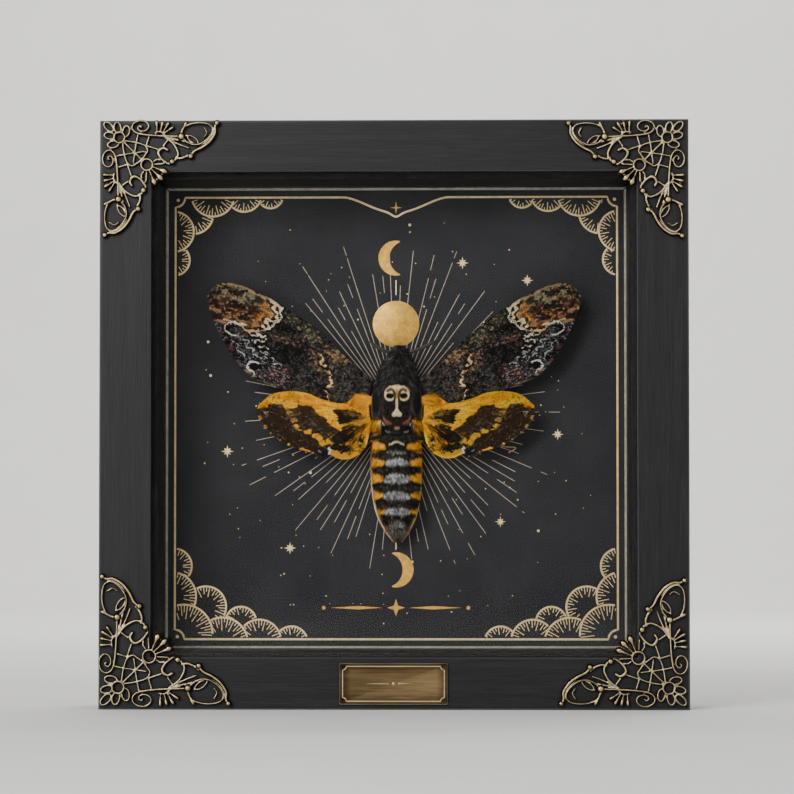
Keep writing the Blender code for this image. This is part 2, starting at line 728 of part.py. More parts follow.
def wing_grid(kind, steps_out, steps_across):
    """Points of a wing's middle surface: the blend of its four edges, as (out, across, xz)."""
    front, back, root, margin = wing_edges(kind, steps_out, steps_across)
    u = np.linspace(0, 1, steps_out)[:, None, None]
    v = np.linspace(0, 1, steps_across)[None, :, None]
    ruled_across = (1 - v) * front[:, None, :] + v * back[:, None, :]
    ruled_out = (1 - u) * root[None, :, :] + u * margin[None, :, :]
    corners = (
        (1 - u) * (1 - v) * front[0] + (1 - u) * v * back[0] + u * (1 - v) * front[-1] + u * v * back[-1]
    )
    return ruled_across + ruled_out - corners, u[..., 0], v[..., 0]


def wing_depth(kind, u, v):
    """Depth of a wing behind the face, in millimetres: a shallow arch out and across."""
    if kind == "forewing":
        return FOREWING_DEPTH / MM - 1.1 * np.sin(u * math.pi * 0.62) + 0.5 * (v - 0.3) ** 2 - 0.35 * u
    return HINDWING_DEPTH / MM - 0.25 * np.sin(u * math.pi * 0.8) + 0.9 * u * (v - 0.25) ** 2


def build_wing(kind, side, finish, veins, steps_out):
    """A wing of even thickness whose veins stand up as ridges on both faces."""
    steps_across = 2 * veins + 1
    grid, u, v = wing_grid(kind, steps_out, steps_across)
    depth = wing_depth(kind, u, v) + 0 * grid[..., 0]
    half = np.full(depth.shape, WING_THICKNESS / MM / 2)
    half[:, 1::2] += VEIN_HEIGHT / MM * np.minimum(1, 2.5 * (1.04 - np.broadcast_to(u, depth.shape)))[:, 1::2]
    edge = np.ones(depth.shape)
    edge[-1, :] = 0.62
    edge[:, 0] = 0.8
    edge[:, -1] = 0.62
    half = half * edge
    sign = -1 if side == "left" else 1
    turn, stretch = WING_TURN[kind + "_" + side], WING_STRETCH[side]
    root = grid[0, 0]
    out = grid[..., 0] - root[0]
    up = grid[..., 1] - root[1]
    ease = np.clip(u * 3, 0, 1) + 0 * out
    x = root[0] + out * (1 + (stretch - 1) * ease) - up * turn * ease
    z = root[1] + up * (1 + (stretch - 1) * ease) + out * turn * ease
    points = []
    for face in (-1, 1):
        layer = np.stack([sign * x, depth + face * half, z], axis=-1).reshape(-1, 3) * MM
        points.append(layer + np.array(MOTH_ORIGIN))
    points = np.vstack(points)
    total = steps_out * steps_across
    faces = []
    for i in range(steps_out - 1):
        for j in range(steps_across - 1):
            a = i * steps_across + j
            b, c, d = a + 1, a + steps_across + 1, a + steps_across
            split = [(a, b, c), (a, c, d)] if j % 2 == 0 else [(a, b, d), (b, c, d)]
            for triangle in split:
                faces.append(triangle)
                faces.append(tuple(total + k for k in reversed(triangle)))
    border = [i * steps_across for i in range(steps_out)]
    border += [(steps_out - 1) * steps_across + j for j in range(1, steps_across)]
    border += [i * steps_across + steps_across - 1 for i in range(steps_out - 2, -1, -1)]
    border += list(range(steps_across - 2, 0, -1))
    for k, a in enumerate(border):
        b = border[(k + 1) % len(border)]
        faces.append((a, b, total + b))
        faces.append((a, total + b, total + a))
    wing = mesh_object(kind + "_" + side, points, faces, finish)
    face_outwards(wing)
    shade_smooth(wing, 0.9)
    return wing


def tapered_tube(name, knots, radii, count, finish, sides=6):
    """A closed tube through knots in millimetres from the moth's origin, its radius following radii."""
    path = even_path(knots, count)
    radii = np.interp(np.linspace(0, 1, count), np.linspace(0, 1, len(radii)), radii)
    along = np.gradient(path, axis=0)
    along /= np.linalg.norm(along, axis=1)[:, None]
    hint = np.array([0.0, 1.0, 0.0])
    points = []
    for k in range(count):
        first = np.cross(along[k], hint)
        first /= np.linalg.norm(first)
        second = np.cross(first, along[k])
        for s in range(sides):
            angle = 2 * math.pi * s / sides
            offset = radii[k] * (math.cos(angle) * first + math.sin(angle) * second)
            points.append(np.array(MOTH_ORIGIN) + (path[k] + offset) * MM)
    faces = []
    for k in range(count - 1):
        for s in range(sides):
            n = (s + 1) % sides
            faces.append((k * sides + s, k * sides + n, (k + 1) * sides + n, (k + 1) * sides + s))
    faces.append(tuple(range(sides)))
    faces.append(tuple(range((count - 1) * sides, count * sides)))
    tube = mesh_object(name, points, faces, finish)
    face_outwards(tube)
    shade_smooth(tube)
    return tube


ANTENNA_TIPS = {"left": (9.3, 17.3), "right": (11.2, 17.9)}


def leg(name, sign, knots, radii, count, finish):
    """A leg on one side through knots given for the right side as (x, depth, height)."""
    bent = [(sign * x + body_bend(z), y, z) for x, y, z in knots]
    tapered_tube(name, bent, radii, count, finish)


def build_feelers_and_legs(finish):
    """The feelers laid forward from the head, and the six legs folded between body and card."""
    near = GAP / MM + 0.5
    for side, sign in (("left", -1), ("right", 1)):
        tip = ANTENNA_TIPS[side]
        root = beside_body(HEAD_SECTIONS, 13.9, -10, near + 0.15)
        middle = ((root[0] + tip[0]) / 2, 21.4, root[2] + 0.42 * (tip[1] - root[2]))
        leg("antenna_" + side, sign, [root, middle, (tip[0], 22.4, tip[1])], (0.42, 0.5, 0.52, 0.3), 7, finish)
        fore = [
            beside_body(THORAX_SECTIONS, 4.8, 50, near + 0.05),
            beside_body(THORAX_SECTIONS, 8.6, 52, near + 0.2),
            (2.6, 26.4, 12.4),
        ]
        leg("leg_fore_" + side, sign, fore, (0.45, 0.4, 0.3), 6, finish)
        if side == "right":
            foot = [(22.0, 25.4, -10.6), (31.0, 25.3, -13.5), (35.0, 25.3, -14.0), (33.0, 25.3, -15.4)]
        else:
            foot = [(21.0, 25.4, -10.4), (28.5, 25.3, -12.6)]
        middle = [beside_body(THORAX_SECTIONS, -2.4, 32, near + 0.1), (12.0, 25.4, -7.0), *foot]
        leg("leg_middle_" + side, sign, middle, (0.55, 0.5, 0.4, 0.3, 0.25), 11, finish)
        around = 24 if side == "left" else 32
        hind = [beside_body(THORAX_SECTIONS, -6.6, 34, near + 0.15)]
        for height in (-13.0, -20.0, -27.0, -33.5, -38.5, -41.6):
            hind.append(beside_body(ABDOMEN_KNOTS, height, around, near + 0.15))
        leg("leg_hind_" + side, sign, hind, (0.55, 0.5, 0.45, 0.4, 0.35, 0.25), 14, finish)


def build_moth(finishes):
    """The specimen: body parts along its axis, wings spread from the thorax, feelers and legs."""
    build_head(finishes["fur"], finishes["horn"])
    build_thorax(finishes["fur"])
    build_abdomen(finishes["abdomen"])
    for side in ("left", "right"):
        build_wing("forewing", side, finishes["forewing"], veins=7, steps_out=14)
        build_wing("hindwing", side, finishes["hindwing"], veins=7, steps_out=10)
    build_feelers_and_legs(finishes["horn"])


def main():
    clear_scene()
    finishes = materials()
    build_moulding(finishes["black_wood"])
    build_board("glass", GLASS_DEPTHS, finishes["glass"])
    build_strips("spacer", SPACER_DEPTHS, SPACER_OPENING, 0.2 * MM, finishes["spacer"])
    build_strips("fillet", FILLET_DEPTHS, FILLET_OPENING, FILLET_BEVEL, finishes["fillet"])
    build_board("card", CARD_DEPTHS, finishes["card"])
    build_board("backboard", BACKBOARD_DEPTHS, finishes["backboard"])
    build_back_hardware(finishes["steel"])
    build_plaque(finishes["brass"])
    build_corners(finishes["brass"])
    build_moth(finishes)


main()
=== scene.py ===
"""Finish of a framed hawkmoth specimen: box frame, castings, printed card and the moth itself.

The tables are in millimetres and the meshes in metres. Depths run back from the moulding's front
face, and the moth's own places are (x, height) from the middle of its thorax, drawn for the right
side and mirrored for the left.
"""

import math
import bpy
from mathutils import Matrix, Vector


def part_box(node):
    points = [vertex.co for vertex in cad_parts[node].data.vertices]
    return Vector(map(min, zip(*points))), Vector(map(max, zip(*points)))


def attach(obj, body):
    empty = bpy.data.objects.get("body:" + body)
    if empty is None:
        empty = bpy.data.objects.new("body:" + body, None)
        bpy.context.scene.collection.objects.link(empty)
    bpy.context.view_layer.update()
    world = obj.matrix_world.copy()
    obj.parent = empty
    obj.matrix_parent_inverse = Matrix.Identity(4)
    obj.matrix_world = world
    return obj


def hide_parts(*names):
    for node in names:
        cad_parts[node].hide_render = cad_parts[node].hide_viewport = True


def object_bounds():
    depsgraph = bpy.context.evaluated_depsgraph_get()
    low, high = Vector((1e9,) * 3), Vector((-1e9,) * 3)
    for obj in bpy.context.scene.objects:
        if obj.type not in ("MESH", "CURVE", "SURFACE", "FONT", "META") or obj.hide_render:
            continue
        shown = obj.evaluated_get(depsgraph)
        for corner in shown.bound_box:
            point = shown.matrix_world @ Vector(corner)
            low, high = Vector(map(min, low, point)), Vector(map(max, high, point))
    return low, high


bl_info = {
    "name": "Framed Hawkmoth Specimen",
    "version": (1, 0, 0),
    "blender": (4, 5, 0),
    "location": "3D Viewport > Sidebar > Specimen",
    "description": "Builds the finish of a framed, spread hawkmoth round its plain solids",
    "category": "Object",
}

import bpy
import numpy as np
from bpy.props import FloatProperty, IntProperty, PointerProperty
from mathutils import Vector

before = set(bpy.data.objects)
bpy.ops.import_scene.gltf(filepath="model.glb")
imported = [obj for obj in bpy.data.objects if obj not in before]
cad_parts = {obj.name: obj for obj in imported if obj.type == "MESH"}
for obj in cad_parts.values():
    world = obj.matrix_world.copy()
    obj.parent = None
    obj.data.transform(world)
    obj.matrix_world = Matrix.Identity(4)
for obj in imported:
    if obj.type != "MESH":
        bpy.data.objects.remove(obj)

MM = 0.001
CAD_BOX = [list(corner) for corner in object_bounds()]
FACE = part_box("moulding_top")[0][1] / MM
# Half the frame's side, which is also the height of its middle
HALF = CAD_BOX[1][0] / MM
CARD_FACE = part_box("card")[0][1] / MM
MOTH = np.array([0.4, FACE, 90.0])
TUFT_SHARE = 1.0


def linear(code):
    """Linear red, green, blue and alpha of an sRGB hex code: each part to the power 2.4 past its toe."""
    made = []
    for i in (0, 2, 4):
        part = int(code[i : i + 2], 16) / 255
        made.append(part / 12.92 if part <= 0.04045 else ((part + 0.055) / 1.055) ** 2.4)
    return (*made, 1.0)


def rgb(code):
    """The same without alpha, as an array."""
    return np.array(linear(code)[:3])


# Shapes


def grid_faces(rows, cols, wrap_rows=False, wrap_cols=True):
    """Four-cornered faces over points that are numbered row by row."""
    r = np.arange(rows if wrap_rows else rows - 1)[:, None]
    c = np.arange(cols if wrap_cols else cols - 1)[None, :]
    below, beside = (r + 1) % rows, (c + 1) % cols
    corners = [r * cols + c, r * cols + beside, below * cols + beside, below * cols + c]
    return np.stack(np.broadcast_arrays(*corners), -1).reshape(-1, 4)


def unit(vectors):
    """Each row at a length of one."""
    return vectors / np.linalg.norm(vectors, axis=1)[:, None]


def shell_volume(points, triangles):
    """Six times the volume inside a closed shell: the sum of a . (b x c), taken from its middle."""
    a, b, c = np.moveaxis(points[triangles] - points.mean(0), 1, 0)
    return np.einsum("ij,ij->", a, np.cross(b, c))


class Shape:
    """Closed shells in millimetres, gathered into one mesh."""

    def __init__(self):
        self.points, self.faces, self.count = [], {3: [], 4: []}, 0

    def add(self, points, *faces):
        """Adds one shell. Its faces are turned round where its volume comes out negative."""
        points = np.asarray(points, float).reshape(-1, 3)
        triangles = np.concatenate([f[:, [0, k, k + 1]] for f in faces for k in range(1, f.shape[1] - 1)])
        outwards = shell_volume(points, triangles) > 0
        for f in faces:
            self.faces[f.shape[1]].append((f if outwards else f[:, ::-1]) + self.count)
        self.points.append(points)
        self.count += len(points)

    def loft(self, rings, wrap=False, strip=False):
        """Joins rings of points (k, m, 3) into a shell, closed by a point or a strip at each end."""
        k, m = rings.shape[:2]
        faces = [grid_faces(k, m, wrap)]
        points = rings.reshape(-1, 3)
        last = (k - 1) * m
        if strip:
            i = np.arange(m // 2 - 1)
            cap = np.stack([i, i + 1, m - 2 - i, m - 1 - i], -1)
            faces += [cap[:, ::-1], cap + last]
        elif not wrap:
            i = np.arange(m)
            onward = (i + 1) % m
            points = np.vstack([points, rings[0].mean(0), rings[-1].mean(0)])
            faces.append(np.stack([onward, i, np.full(m, k * m)], -1))
            faces.append(np.stack([last + i, last + onward, np.full(m, k * m + 1)], -1))
        self.add(points, *faces)

    def sweep(self, path, section, closed=False, rounded=False):
        """Carries a section of (side, out) points along a path. Out is the front's side of the path.

        Rounded ends are four more rings that shrink as a quarter circle.
        """
        path = np.asarray(path, float)
        along = unit(np.roll(path, -1, 0) - np.roll(path, 1, 0) if closed else np.gradient(path, axis=0))
        side = unit(np.cross(along, (0, -1, 0)))
        out = np.cross(side, along)
        section = np.broadcast_to(section, (len(path), *np.shape(section)[-2:]))
        rings = path[:, None] + section[..., :1] * side[:, None] + section[..., 1:] * out[:, None]
        if rounded:
            caps = []
            turns = np.radians([25, 48, 68, 84])[:, None, None]
            for end, sign in ((0, -1), (-1, 1)):
                reach = np.abs(section[end]).max() * sign
                middle = rings[end].mean(0)
                shrunk = (rings[end] - middle) * np.cos(turns)
                caps.append(middle + shrunk + along[end] * reach * np.sin(turns))
            rings = np.concatenate([caps[0][::-1], rings, caps[1]])
        self.loft(rings, wrap=closed)

    def mesh(self, name, finish, sharp=None):
        """The gathered shells as one object, smooth but for edges sharper than an angle in degrees."""
        return mesh_object(name, np.vstack(self.points), self.faces[3] + self.faces[4], finish, sharp)


def mesh_object(name, points, faces, finish, sharp=None):
    """A mesh object at the origin from points in millimetres and lists of equal-sided face arrays."""
    made = bpy.data.meshes.new(name)
    made.vertices.add(len(points))
    made.vertices.foreach_set("co", (np.asarray(points, float) * MM).ravel())
    loops = np.concatenate([f.ravel() for f in faces])
    sizes = np.concatenate([np.full(len(f), f.shape[1]) for f in faces])
    made.loops.add(len(loops))
    made.loops.foreach_set("vertex_index", loops.astype(np.int32))
    made.polygons.add(len(sizes))
    made.polygons.foreach_set("loop_start", (np.cumsum(sizes) - sizes).astype(np.int32))
    made.update(calc_edges=True)
    made.shade_smooth()
    if sharp is not None:
        made.set_sharp_from_angle(angle=math.radians(sharp))
    made.materials.append(finish.material)
    obj = bpy.data.objects.new(name, made)
    bpy.context.scene.collection.objects.link(obj)
    return obj


def set_tint(obj, colours):
    """Gives each point of a mesh its linear colour, in the attribute that the material reads."""
    layer = obj.data.color_attributes.new(name="Tint", type="FLOAT_COLOR", domain="POINT")
    colours = np.column_stack([colours, np.ones(len(colours))])
    layer.data.foreach_set("color", colours.astype(np.float32).ravel())


def set_map(obj, name, places):
    """Gives a mesh a UV map from one place for each face corner."""
    obj.data.uv_layers.new(name=name).uv.foreach_set("vector", places.astype(np.float32).ravel())


def loop_points(obj):
    """The mesh point of each face corner."""
    made = np.empty(len(obj.data.loops), np.int32)
    obj.data.loops.foreach_get("vertex_index", made)
    return made


def smooth_path(knots, steps=6):
    """A Catmull-Rom curve through the knots: each stretch is the cubic that meets its neighbours."""
    knots = np.asarray(knots, float)
    padded = np.vstack([2 * knots[0] - knots[1], knots, 2 * knots[-1] - knots[-2]])
    at = np.linspace(0, len(knots) - 1, steps * (len(knots) - 1) + 1)
    index = np.minimum(at.astype(int), len(knots) - 2)
    t = (at - index)[:, None]
    p0, p1, p2, p3 = (padded[index + k] for k in range(4))
    cubic = (2 * p0 - 5 * p1 + 4 * p2 - p3) * t**2 + (3 * p1 - p0 - 3 * p2 + p3) * t**3
    return 0.5 * (2 * p1 + (p2 - p0) * t + cubic)


def along_path(knots, shares):
    """Points at these shares of the length of the smooth curve through the knots."""
    fine = smooth_path(knots, 40)
    gone = lengths_along(fine)
    return np.stack([np.interp(np.asarray(shares) * gone[-1], gone, column) for column in fine.T], -1)


def lengths_along(path):
    """How far each point of a path is from its start."""
    return np.concatenate([[0], np.cumsum(np.linalg.norm(np.diff(path, axis=0), axis=1))])


def oval_section(across, out, back=None, sides=10):
    """Points (side, out) of an oval: across*cos and out*sin, its under side reaching only back."""
    turn = np.arange(sides) * 2 * math.pi / sides
    across, out = np.atleast_1d(across)[:, None], np.atleast_1d(out)[:, None]
    under = out if back is None else np.atleast_1d(back)[:, None]
    rise = np.sin(turn)
    return np.stack([across * np.cos(turn), np.where(rise > 0, out, under) * rise], -1)


def bar_section(width, high):
    """A flat strip's section, its upper edges slightly drawn in."""
    half = width / 2
    return np.array([(half, 0.0), (half * 0.9, high), (-half * 0.9, high), (-half, 0.0)])


def ball(shape, centre, radii, rings=8, sides=14):
    """An egg shape: rings at equal turns from pole to pole."""
    tilt = np.linspace(0.12, math.pi - 0.12, rings)[:, None]
    turn = np.arange(sides) * 2 * math.pi / sides
    round_it = (np.sin(tilt) * np.cos(turn), np.cos(tilt), np.sin(tilt) * np.sin(turn))
    shape.loft(np.asarray(centre) + np.stack(np.broadcast_arrays(*round_it), -1) * np.asarray(radii))


# Noise and painted markings


def value_noise(x, z, cell, seed):
    """Noise from 0 to 1: a repeatable number at each corner of a lattice, blended by 3t^2 - 2t^3."""
    x, z = x / cell, z / cell
    ix, iz = np.floor(x), np.floor(z)
    tx, tz = x - ix, z - iz
    tx, tz = tx * tx * (3 - 2 * tx), tz * tz * (3 - 2 * tz)

    def corner(i, k):
        rough = np.sin((ix + i) * 127.1 + (iz + k) * 311.7 + seed * 74.7) * 43758.5453
        return rough - np.floor(rough)

    low = corner(0, 0) * (1 - tx) + corner(1, 0) * tx
    return low * (1 - tz) + (corner(0, 1) * (1 - tx) + corner(1, 1) * tx) * tz


def layered_noise(x, z, cell, seed, layers=3):
    """Value noise with finer layers, each half the cell and half the strength of the last."""
    total = sum(value_noise(x, z, cell / 2**k, seed + 7 * k) / 2**k for k in range(layers))
    return total / sum(0.5**k for k in range(layers))


def soft_step(value, edge, width):
    """0 below an edge and 1 above it, over a width."""
    t = np.clip((value - edge) / width + 0.5, 0, 1)
    return t * t * (3 - 2 * t)


def path_distance(x, z, path):
    """Least distance from each point to the straight pieces of a path."""
    best = np.full(x.shape, 1e9)
    for (ax, az), (bx, bz) in zip(path[:-1], path[1:]):
        dx, dz = bx - ax, bz - az
        t = np.clip(((x - ax) * dx + (z - az) * dz) / (dx * dx + dz * dz + 1e-12), 0, 1)
        best = np.minimum(best, np.hypot(x - ax - t * dx, z - az - t * dz))
    return best


def inside(x, z, outline):
    """True where a ray from the point crosses the outline an odd number of times."""
    odd = np.zeros(x.shape, bool)
    for (ax, az), (bx, bz) in zip(outline, np.roll(outline, -1, 0)):
        if az != bz:
            odd ^= ((az > z) != (bz > z)) & (x < (bx - ax) * (z - az) / (bz - az) + ax)
    return odd


class Paint:
    """Linear colours at points of a plane in millimetres, laid on mark over mark.

    The marks' edges are ragged, because each point is looked up a little way off its place.
    """

    def __init__(self, x, z, base, ragged=0.4, seed=1, cell=1.7):
        self.x, self.z = x, z
        self.rgb = np.tile(rgb(base), (x.size, 1))
        shift = [layered_noise(x, z, cell, seed + k, 3) - 0.5 for k in (0, 50)]
        self.wx, self.wz = x + 2 * ragged * shift[0], z + 2 * ragged * shift[1]

    def mix(self, share, colour):
        self.rgb += np.broadcast_to(share, self.x.shape)[:, None] * (rgb(colour) - self.rgb)

    def away(self, x, z, long, wide, turn=0.0):
        """Distance from an oval's middle, as a share of its half size."""
        c, s = math.cos(math.radians(turn)), math.sin(math.radians(turn))
        dx, dz = self.wx - x, self.wz - z
        return np.hypot((dx * c + dz * s) / long, (dz * c - dx * s) / wide)

    def near(self, *marks):
        """1 inside any of the ovals, falling softly to 0 at about twice their size."""
        return np.max([np.exp(-0.7 * self.away(*m) ** 3) for m in marks], axis=0)

    def ovals(self, colour, marks, soft=0.2, strength=1.0):
        for mark in marks:
            self.mix(strength * (1 - soft_step(self.away(*mark), 1, 2 * soft)), colour)

    def line(self, colour, knots, width, soft=0.15, strength=1.0, broken=0.0):
        """A line of a width along the smooth curve through the knots, thinner and broken where asked."""
        away = path_distance(self.wx, self.wz, smooth_path(knots, 5))
        if broken:
            patches = soft_step(layered_noise(self.x, self.z, 0.9, 83, 2), 0.55, 0.3)
            width = width * (1.5 - 1.6 * broken * patches)
        self.mix(strength * (1 - soft_step(away, width / 2, soft)), colour)

    def within(self, outline, soft=0.3):
        """1 inside an outline and 0 outside it."""
        outline = np.asarray(outline, float)
        away = path_distance(self.wx, self.wz, np.vstack([outline, outline[:1]]))
        return 1 - soft_step(np.where(inside(self.wx, self.wz, outline), -away, away), 0, 2 * soft)

    def specks(self, colour, cell, density, seed, strength=0.85):
        """Irregular specks that cover about this share of the surface, which may change over it.

        The noise is near a bell curve, so 1 / (1 + exp((0.5 - noise) / 0.085)) is its rank.
        """
        density = np.asarray(density)
        noise = layered_noise(self.wx, self.wz, cell, seed, 2)
        rank = 1 / (1 + np.exp((0.5 - noise) / 0.085))
        self.mix(strength * soft_step(rank, 1 - density, 0.12) * (density > 0.004), colour)


# Materials


class Finish:
    """A material of two noises, coarse and fine, each with its repeats in a millimetre on each axis.

    Their mean goes through the colour stops, or varies the mesh's own Tint. The fine one also moves
    the roughness between two values and stands in relief, by a height in millimetres.
    """

    def __init__(self, name, coarse, fine, stops, rough, relief, uv=None, **fixed):
        self.material = bpy.data.materials.new(name)
        self.material.use_nodes = True
        self.tree = self.material.node_tree
        self.shader = next(n for n in self.tree.nodes if n.type == "BSDF_PRINCIPLED")
        for key, value in fixed.items():
            self.shader.inputs[key.replace("_", " ")].default_value = value
        self.coords = self.add("UVMap", uv_map=uv) if uv else self.add("TexCoord").outputs["Object"]
        per_mm = 1.0 if uv else 1 / MM
        noises = []
        for scale in (coarse, fine):
            scale = scale if isinstance(scale, tuple) else (scale,) * 3
            mapped = self.add("Mapping", {"Vector": self.coords, "Scale": tuple(per_mm * s for s in scale)})
            values = {"Vector": mapped, "Scale": 1.0, "Detail": 5.0, "Roughness": 0.6}
            noises.append(self.add("TexNoise", values))
        self.fine = noises[1]
        self.mean = self.add("Mix", {0: 0.5, 2: noises[0], 3: noises[1]}, data_type="FLOAT")
        if isinstance(stops, float):
            tint = self.add("Attribute", attribute_name="Tint").outputs["Color"]
            level = self.add("MapRange", {0: self.mean, 1: 0.35, 2: 0.65, 3: 1 - stops, 4: 1 + stops})
            self.colour = self.add("VectorMath", {0: tint, "Scale": level}, operation="SCALE").outputs[0]
        else:
            self.colour = self.add("ValToRGB", {0: self.mean}, stops).outputs[0]
        self.link("Base Color", self.colour)
        self.link("Roughness", self.add("MapRange", {0: self.fine, 1: 0.3, 2: 0.7, 3: rough[0], 4: rough[1]}))
        if relief:
            values = {"Height": self.fine, "Distance": relief * MM, "Strength": 0.6}
            self.link("Normal", self.add("Bump", values))

    def add(self, kind, inputs=None, stops=None, **settings):
        """Adds a node with its settings, socket values, links and the stops of a colour ramp."""
        made = self.tree.nodes.new("ShaderNode" + kind)
        for key, value in settings.items():
            setattr(made, key, value)
        for key, value in (inputs or {}).items():
            if isinstance(value, bpy.types.Node):
                value = value.outputs[0]
            if isinstance(value, bpy.types.NodeSocket):
                self.tree.links.new(value, made.inputs[key])
            else:
                made.inputs[key].default_value = value
        if stops:
            ramp = made.color_ramp
            while len(ramp.elements) < len(stops):
                ramp.elements.new(0.5)
            for element, (place, code) in zip(ramp.elements, stops):
                element.position = place
                element.color = linear(code)
        return made

    def slope(self, low, high, most):
        """A mask of what is tilted from the front: 4y^2 less 4y^4, where y is the normal's share along y."""
        facing = self.add("SeparateXYZ", {0: self.add("NewGeometry").outputs["Normal"]}).outputs[1]
        square = self.add("Math", {0: facing, 1: facing}, operation="MULTIPLY")
        rest = self.add("Math", {0: square, 1: -4.0, 2: 4.0}, operation="MULTIPLY_ADD")
        tilt = self.add("Math", {0: square, 1: rest}, operation="MULTIPLY")
        return self.add("MapRange", {0: tilt, 1: low, 2: high, 3: 0.0, 4: most})

    def link(self, key, source):
        """Feeds a socket of the shader from a node's first output or from a given output."""
        if isinstance(source, bpy.types.Node):
            source = source.outputs[0]
        self.tree.links.new(source, self.shader.inputs[key])


def painted_wood(settings):
    """Close-grained wood under black satin paint: the grain still shows as fine low ridges along
    each side, about two to the millimetre, and catches the light in long soft streaks. The rounded
    arrises are painted pale grey: a painted highlight for the light that they catch."""
    coarse, fine = (0.02, 0.45, 1), (0.10, 1.9, 1)
    stops = [(0.36, "101012"), (0.50, "161618"), (0.66, "1F1F21")]
    relief = settings.grain / MM
    made = Finish("painted_wood", coarse, fine, stops, (0.38, 0.52), relief, "Grain", Specular_IOR_Level=0.25)
    # Painted highlight: the faces tilted off the front, on the arrises, are mixed towards pale grey.
    values = {0: made.slope(0.3, 0.9, 0.5), 6: made.colour, 7: linear("5C5C5F")}
    made.link("Base Color", made.add("Mix", values, data_type="RGBA").outputs[2])
    return made


def frame_glass():
    """Thin picture glass: it lets nearly all light through and keeps a faint clear sheen."""
    stops = [(0.0, "F4F8F6"), (1.0, "FFFFFF")]
    made = Finish("picture_glass", 0.05, 0.12, stops, (0.01, 0.08), 0, Alpha=0.006, Metallic=1.0)
    made.material.surface_render_method = "BLENDED"
    return made


def mat_board():
    """Black satin board with a pale core: its cut bevel is coloured pale grey all round, which is
    its core and also a painted highlight for the glint on the bevel.
    """
    made = Finish("mat_board", 0.5, 2.0, [(0.4, "161618"), (0.6, "26262A")], (0.3, 0.45), 0.02)
    # Pale core and painted highlight: the bevel's grey also stands for its glint.
    core_and_glint = made.add("ValToRGB", {0: made.mean}, [(0.4, "7C756A"), (0.6, "A39A8B")])
    values = {0: made.slope(0.4, 0.88, 1.0), 6: made.colour, 7: core_and_glint}
    made.link("Base Color", made.add("Mix", values, data_type="RGBA").outputs[2])
    return made


def gilt(name, low, high):
    """Hot-stamped gold foil: a metal film whose grain is that of the paper under it."""
    return Finish(name, 0.7, 3.0, [(0.38, low), (0.62, high)], (0.38, 0.6), 0.02, Metallic=0.75)


def cast_brass():
    """Cast brass, blackened and rubbed back: dark in its hollows, pale gold on all that stands up.

    The wear grows with the height off the wood. What faces squarely to the front is also painted
    paler and the flanks darker: painted light and shade. What stands highest is a little deeper in
    colour.
    """
    stops = [(0.2, "17110A"), (0.48, "342A1C"), (0.73, "7A6C50"), (0.94, "D9CAA6")]
    made = Finish("cast_brass", 0.5, 2.2, stops, (0.5, 0.34), 0.05, Metallic=0.95)
    depth = made.add("SeparateXYZ", {0: made.coords}).outputs[1]
    rise = made.add("MapRange", {0: depth, 1: (FACE - 0.5) * MM, 2: (FACE - 1.05) * MM, 3: -0.3, 4: 0.36})
    # Painted light and shade: faces towards the front are made paler and the flanks darker.
    facing = made.add("SeparateXYZ", {0: made.add("NewGeometry").outputs["Normal"]}).outputs[1]
    painted_front_light = made.add("MapRange", {0: facing, 1: -0.5, 2: -0.93, 3: -0.6, 4: 0.14})
    pale_share = made.add("Math", {0: rise, 1: painted_front_light}, operation="ADD")
    pale_share = made.add("Math", {0: made.mean, 1: 0.7, 2: pale_share}, operation="MULTIPLY_ADD", use_clamp=True)
    high = made.add("MapRange", {0: depth, 1: (FACE - 1.2) * MM, 2: (FACE - 1.5) * MM, 3: 0.0, 4: 0.55})
    values = {0: high, 6: made.add("ValToRGB", {0: pale_share}, stops), 7: linear("EEDFBE")}
    made.link("Base Color", made.add("Mix", values, data_type="RGBA", blend_type="MULTIPLY").outputs[2])
    return made


def brushed_brass():
    """Rolled brass sheet, brushed lengthways and antiqued: fine streaks, darker within 3 mm of its
    rim, and rubbed bright on its raised lines and edges."""
    stops = [(0.0, "241C13"), (0.34, "56452E"), (0.62, "7E6A49")]
    made = Finish("brushed_brass", (0.05, 0.3, 0.5), (0.08, 1.0, 3.2), stops, (0.36, 0.5), 0.015,
                  Metallic=1.0)
    axes = made.add("SeparateXYZ", {0: made.coords}).outputs
    height = made.add("MapRange", {0: axes[1], 1: (FACE - 1.05) * MM, 2: (FACE - 1.25) * MM, 3: 0.0, 4: 1.0})
    shade = made.mean
    low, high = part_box("plaque")
    for axis, reach in ((0, high[0]), (2, (high[2] - low[2]) / 2)):
        away = made.add("Math", {0: axes[axis], 1: (low[axis] + high[axis]) / 2}, operation="SUBTRACT")
        away = made.add("Math", {0: away}, operation="ABSOLUTE")
        dark = made.add("MapRange", {0: away, 1: reach - 3.2 * MM, 2: reach - 1.3 * MM, 3: 0.0, 4: -0.22})
        shade = made.add("Math", {0: shade, 1: dark}, operation="ADD")
    base = made.add("ValToRGB", {0: shade}, stops)
    crest = made.add("ValToRGB", {0: made.fine}, [(0.3, "BFA97E"), (0.7, "E8D8B4")])
    pale_share = made.add("Math", {0: height, 1: made.slope(0.25, 0.8, 0.9)}, operation="MAXIMUM")
    values = {0: pale_share, 6: base, 7: crest}
    made.link("Base Color", made.add("Mix", values, data_type="RGBA").outputs[2])
    return made


def compound_eye():
    """Dried compound eyes: dark brown horn, glossy, under facets a fifteenth of a millimetre wide,
    which are drawn at a tenth so that they show."""
    horn = [(0.4, "0D0907"), (0.6, "2B1B11")]
    made = Finish("compound_eye", 0.8, 3.0, horn, (0.2, 0.36), 0, Coat_Weight=0.5)
    facets = made.add("TexVoronoi", {"Vector": made.coords, "Scale": 10.0 / MM})
    values = {"Height": facets.outputs["Distance"], "Distance": 0.03 * MM, "Strength": 0.5}
    made.link("Normal", made.add("Bump", values))
    return made


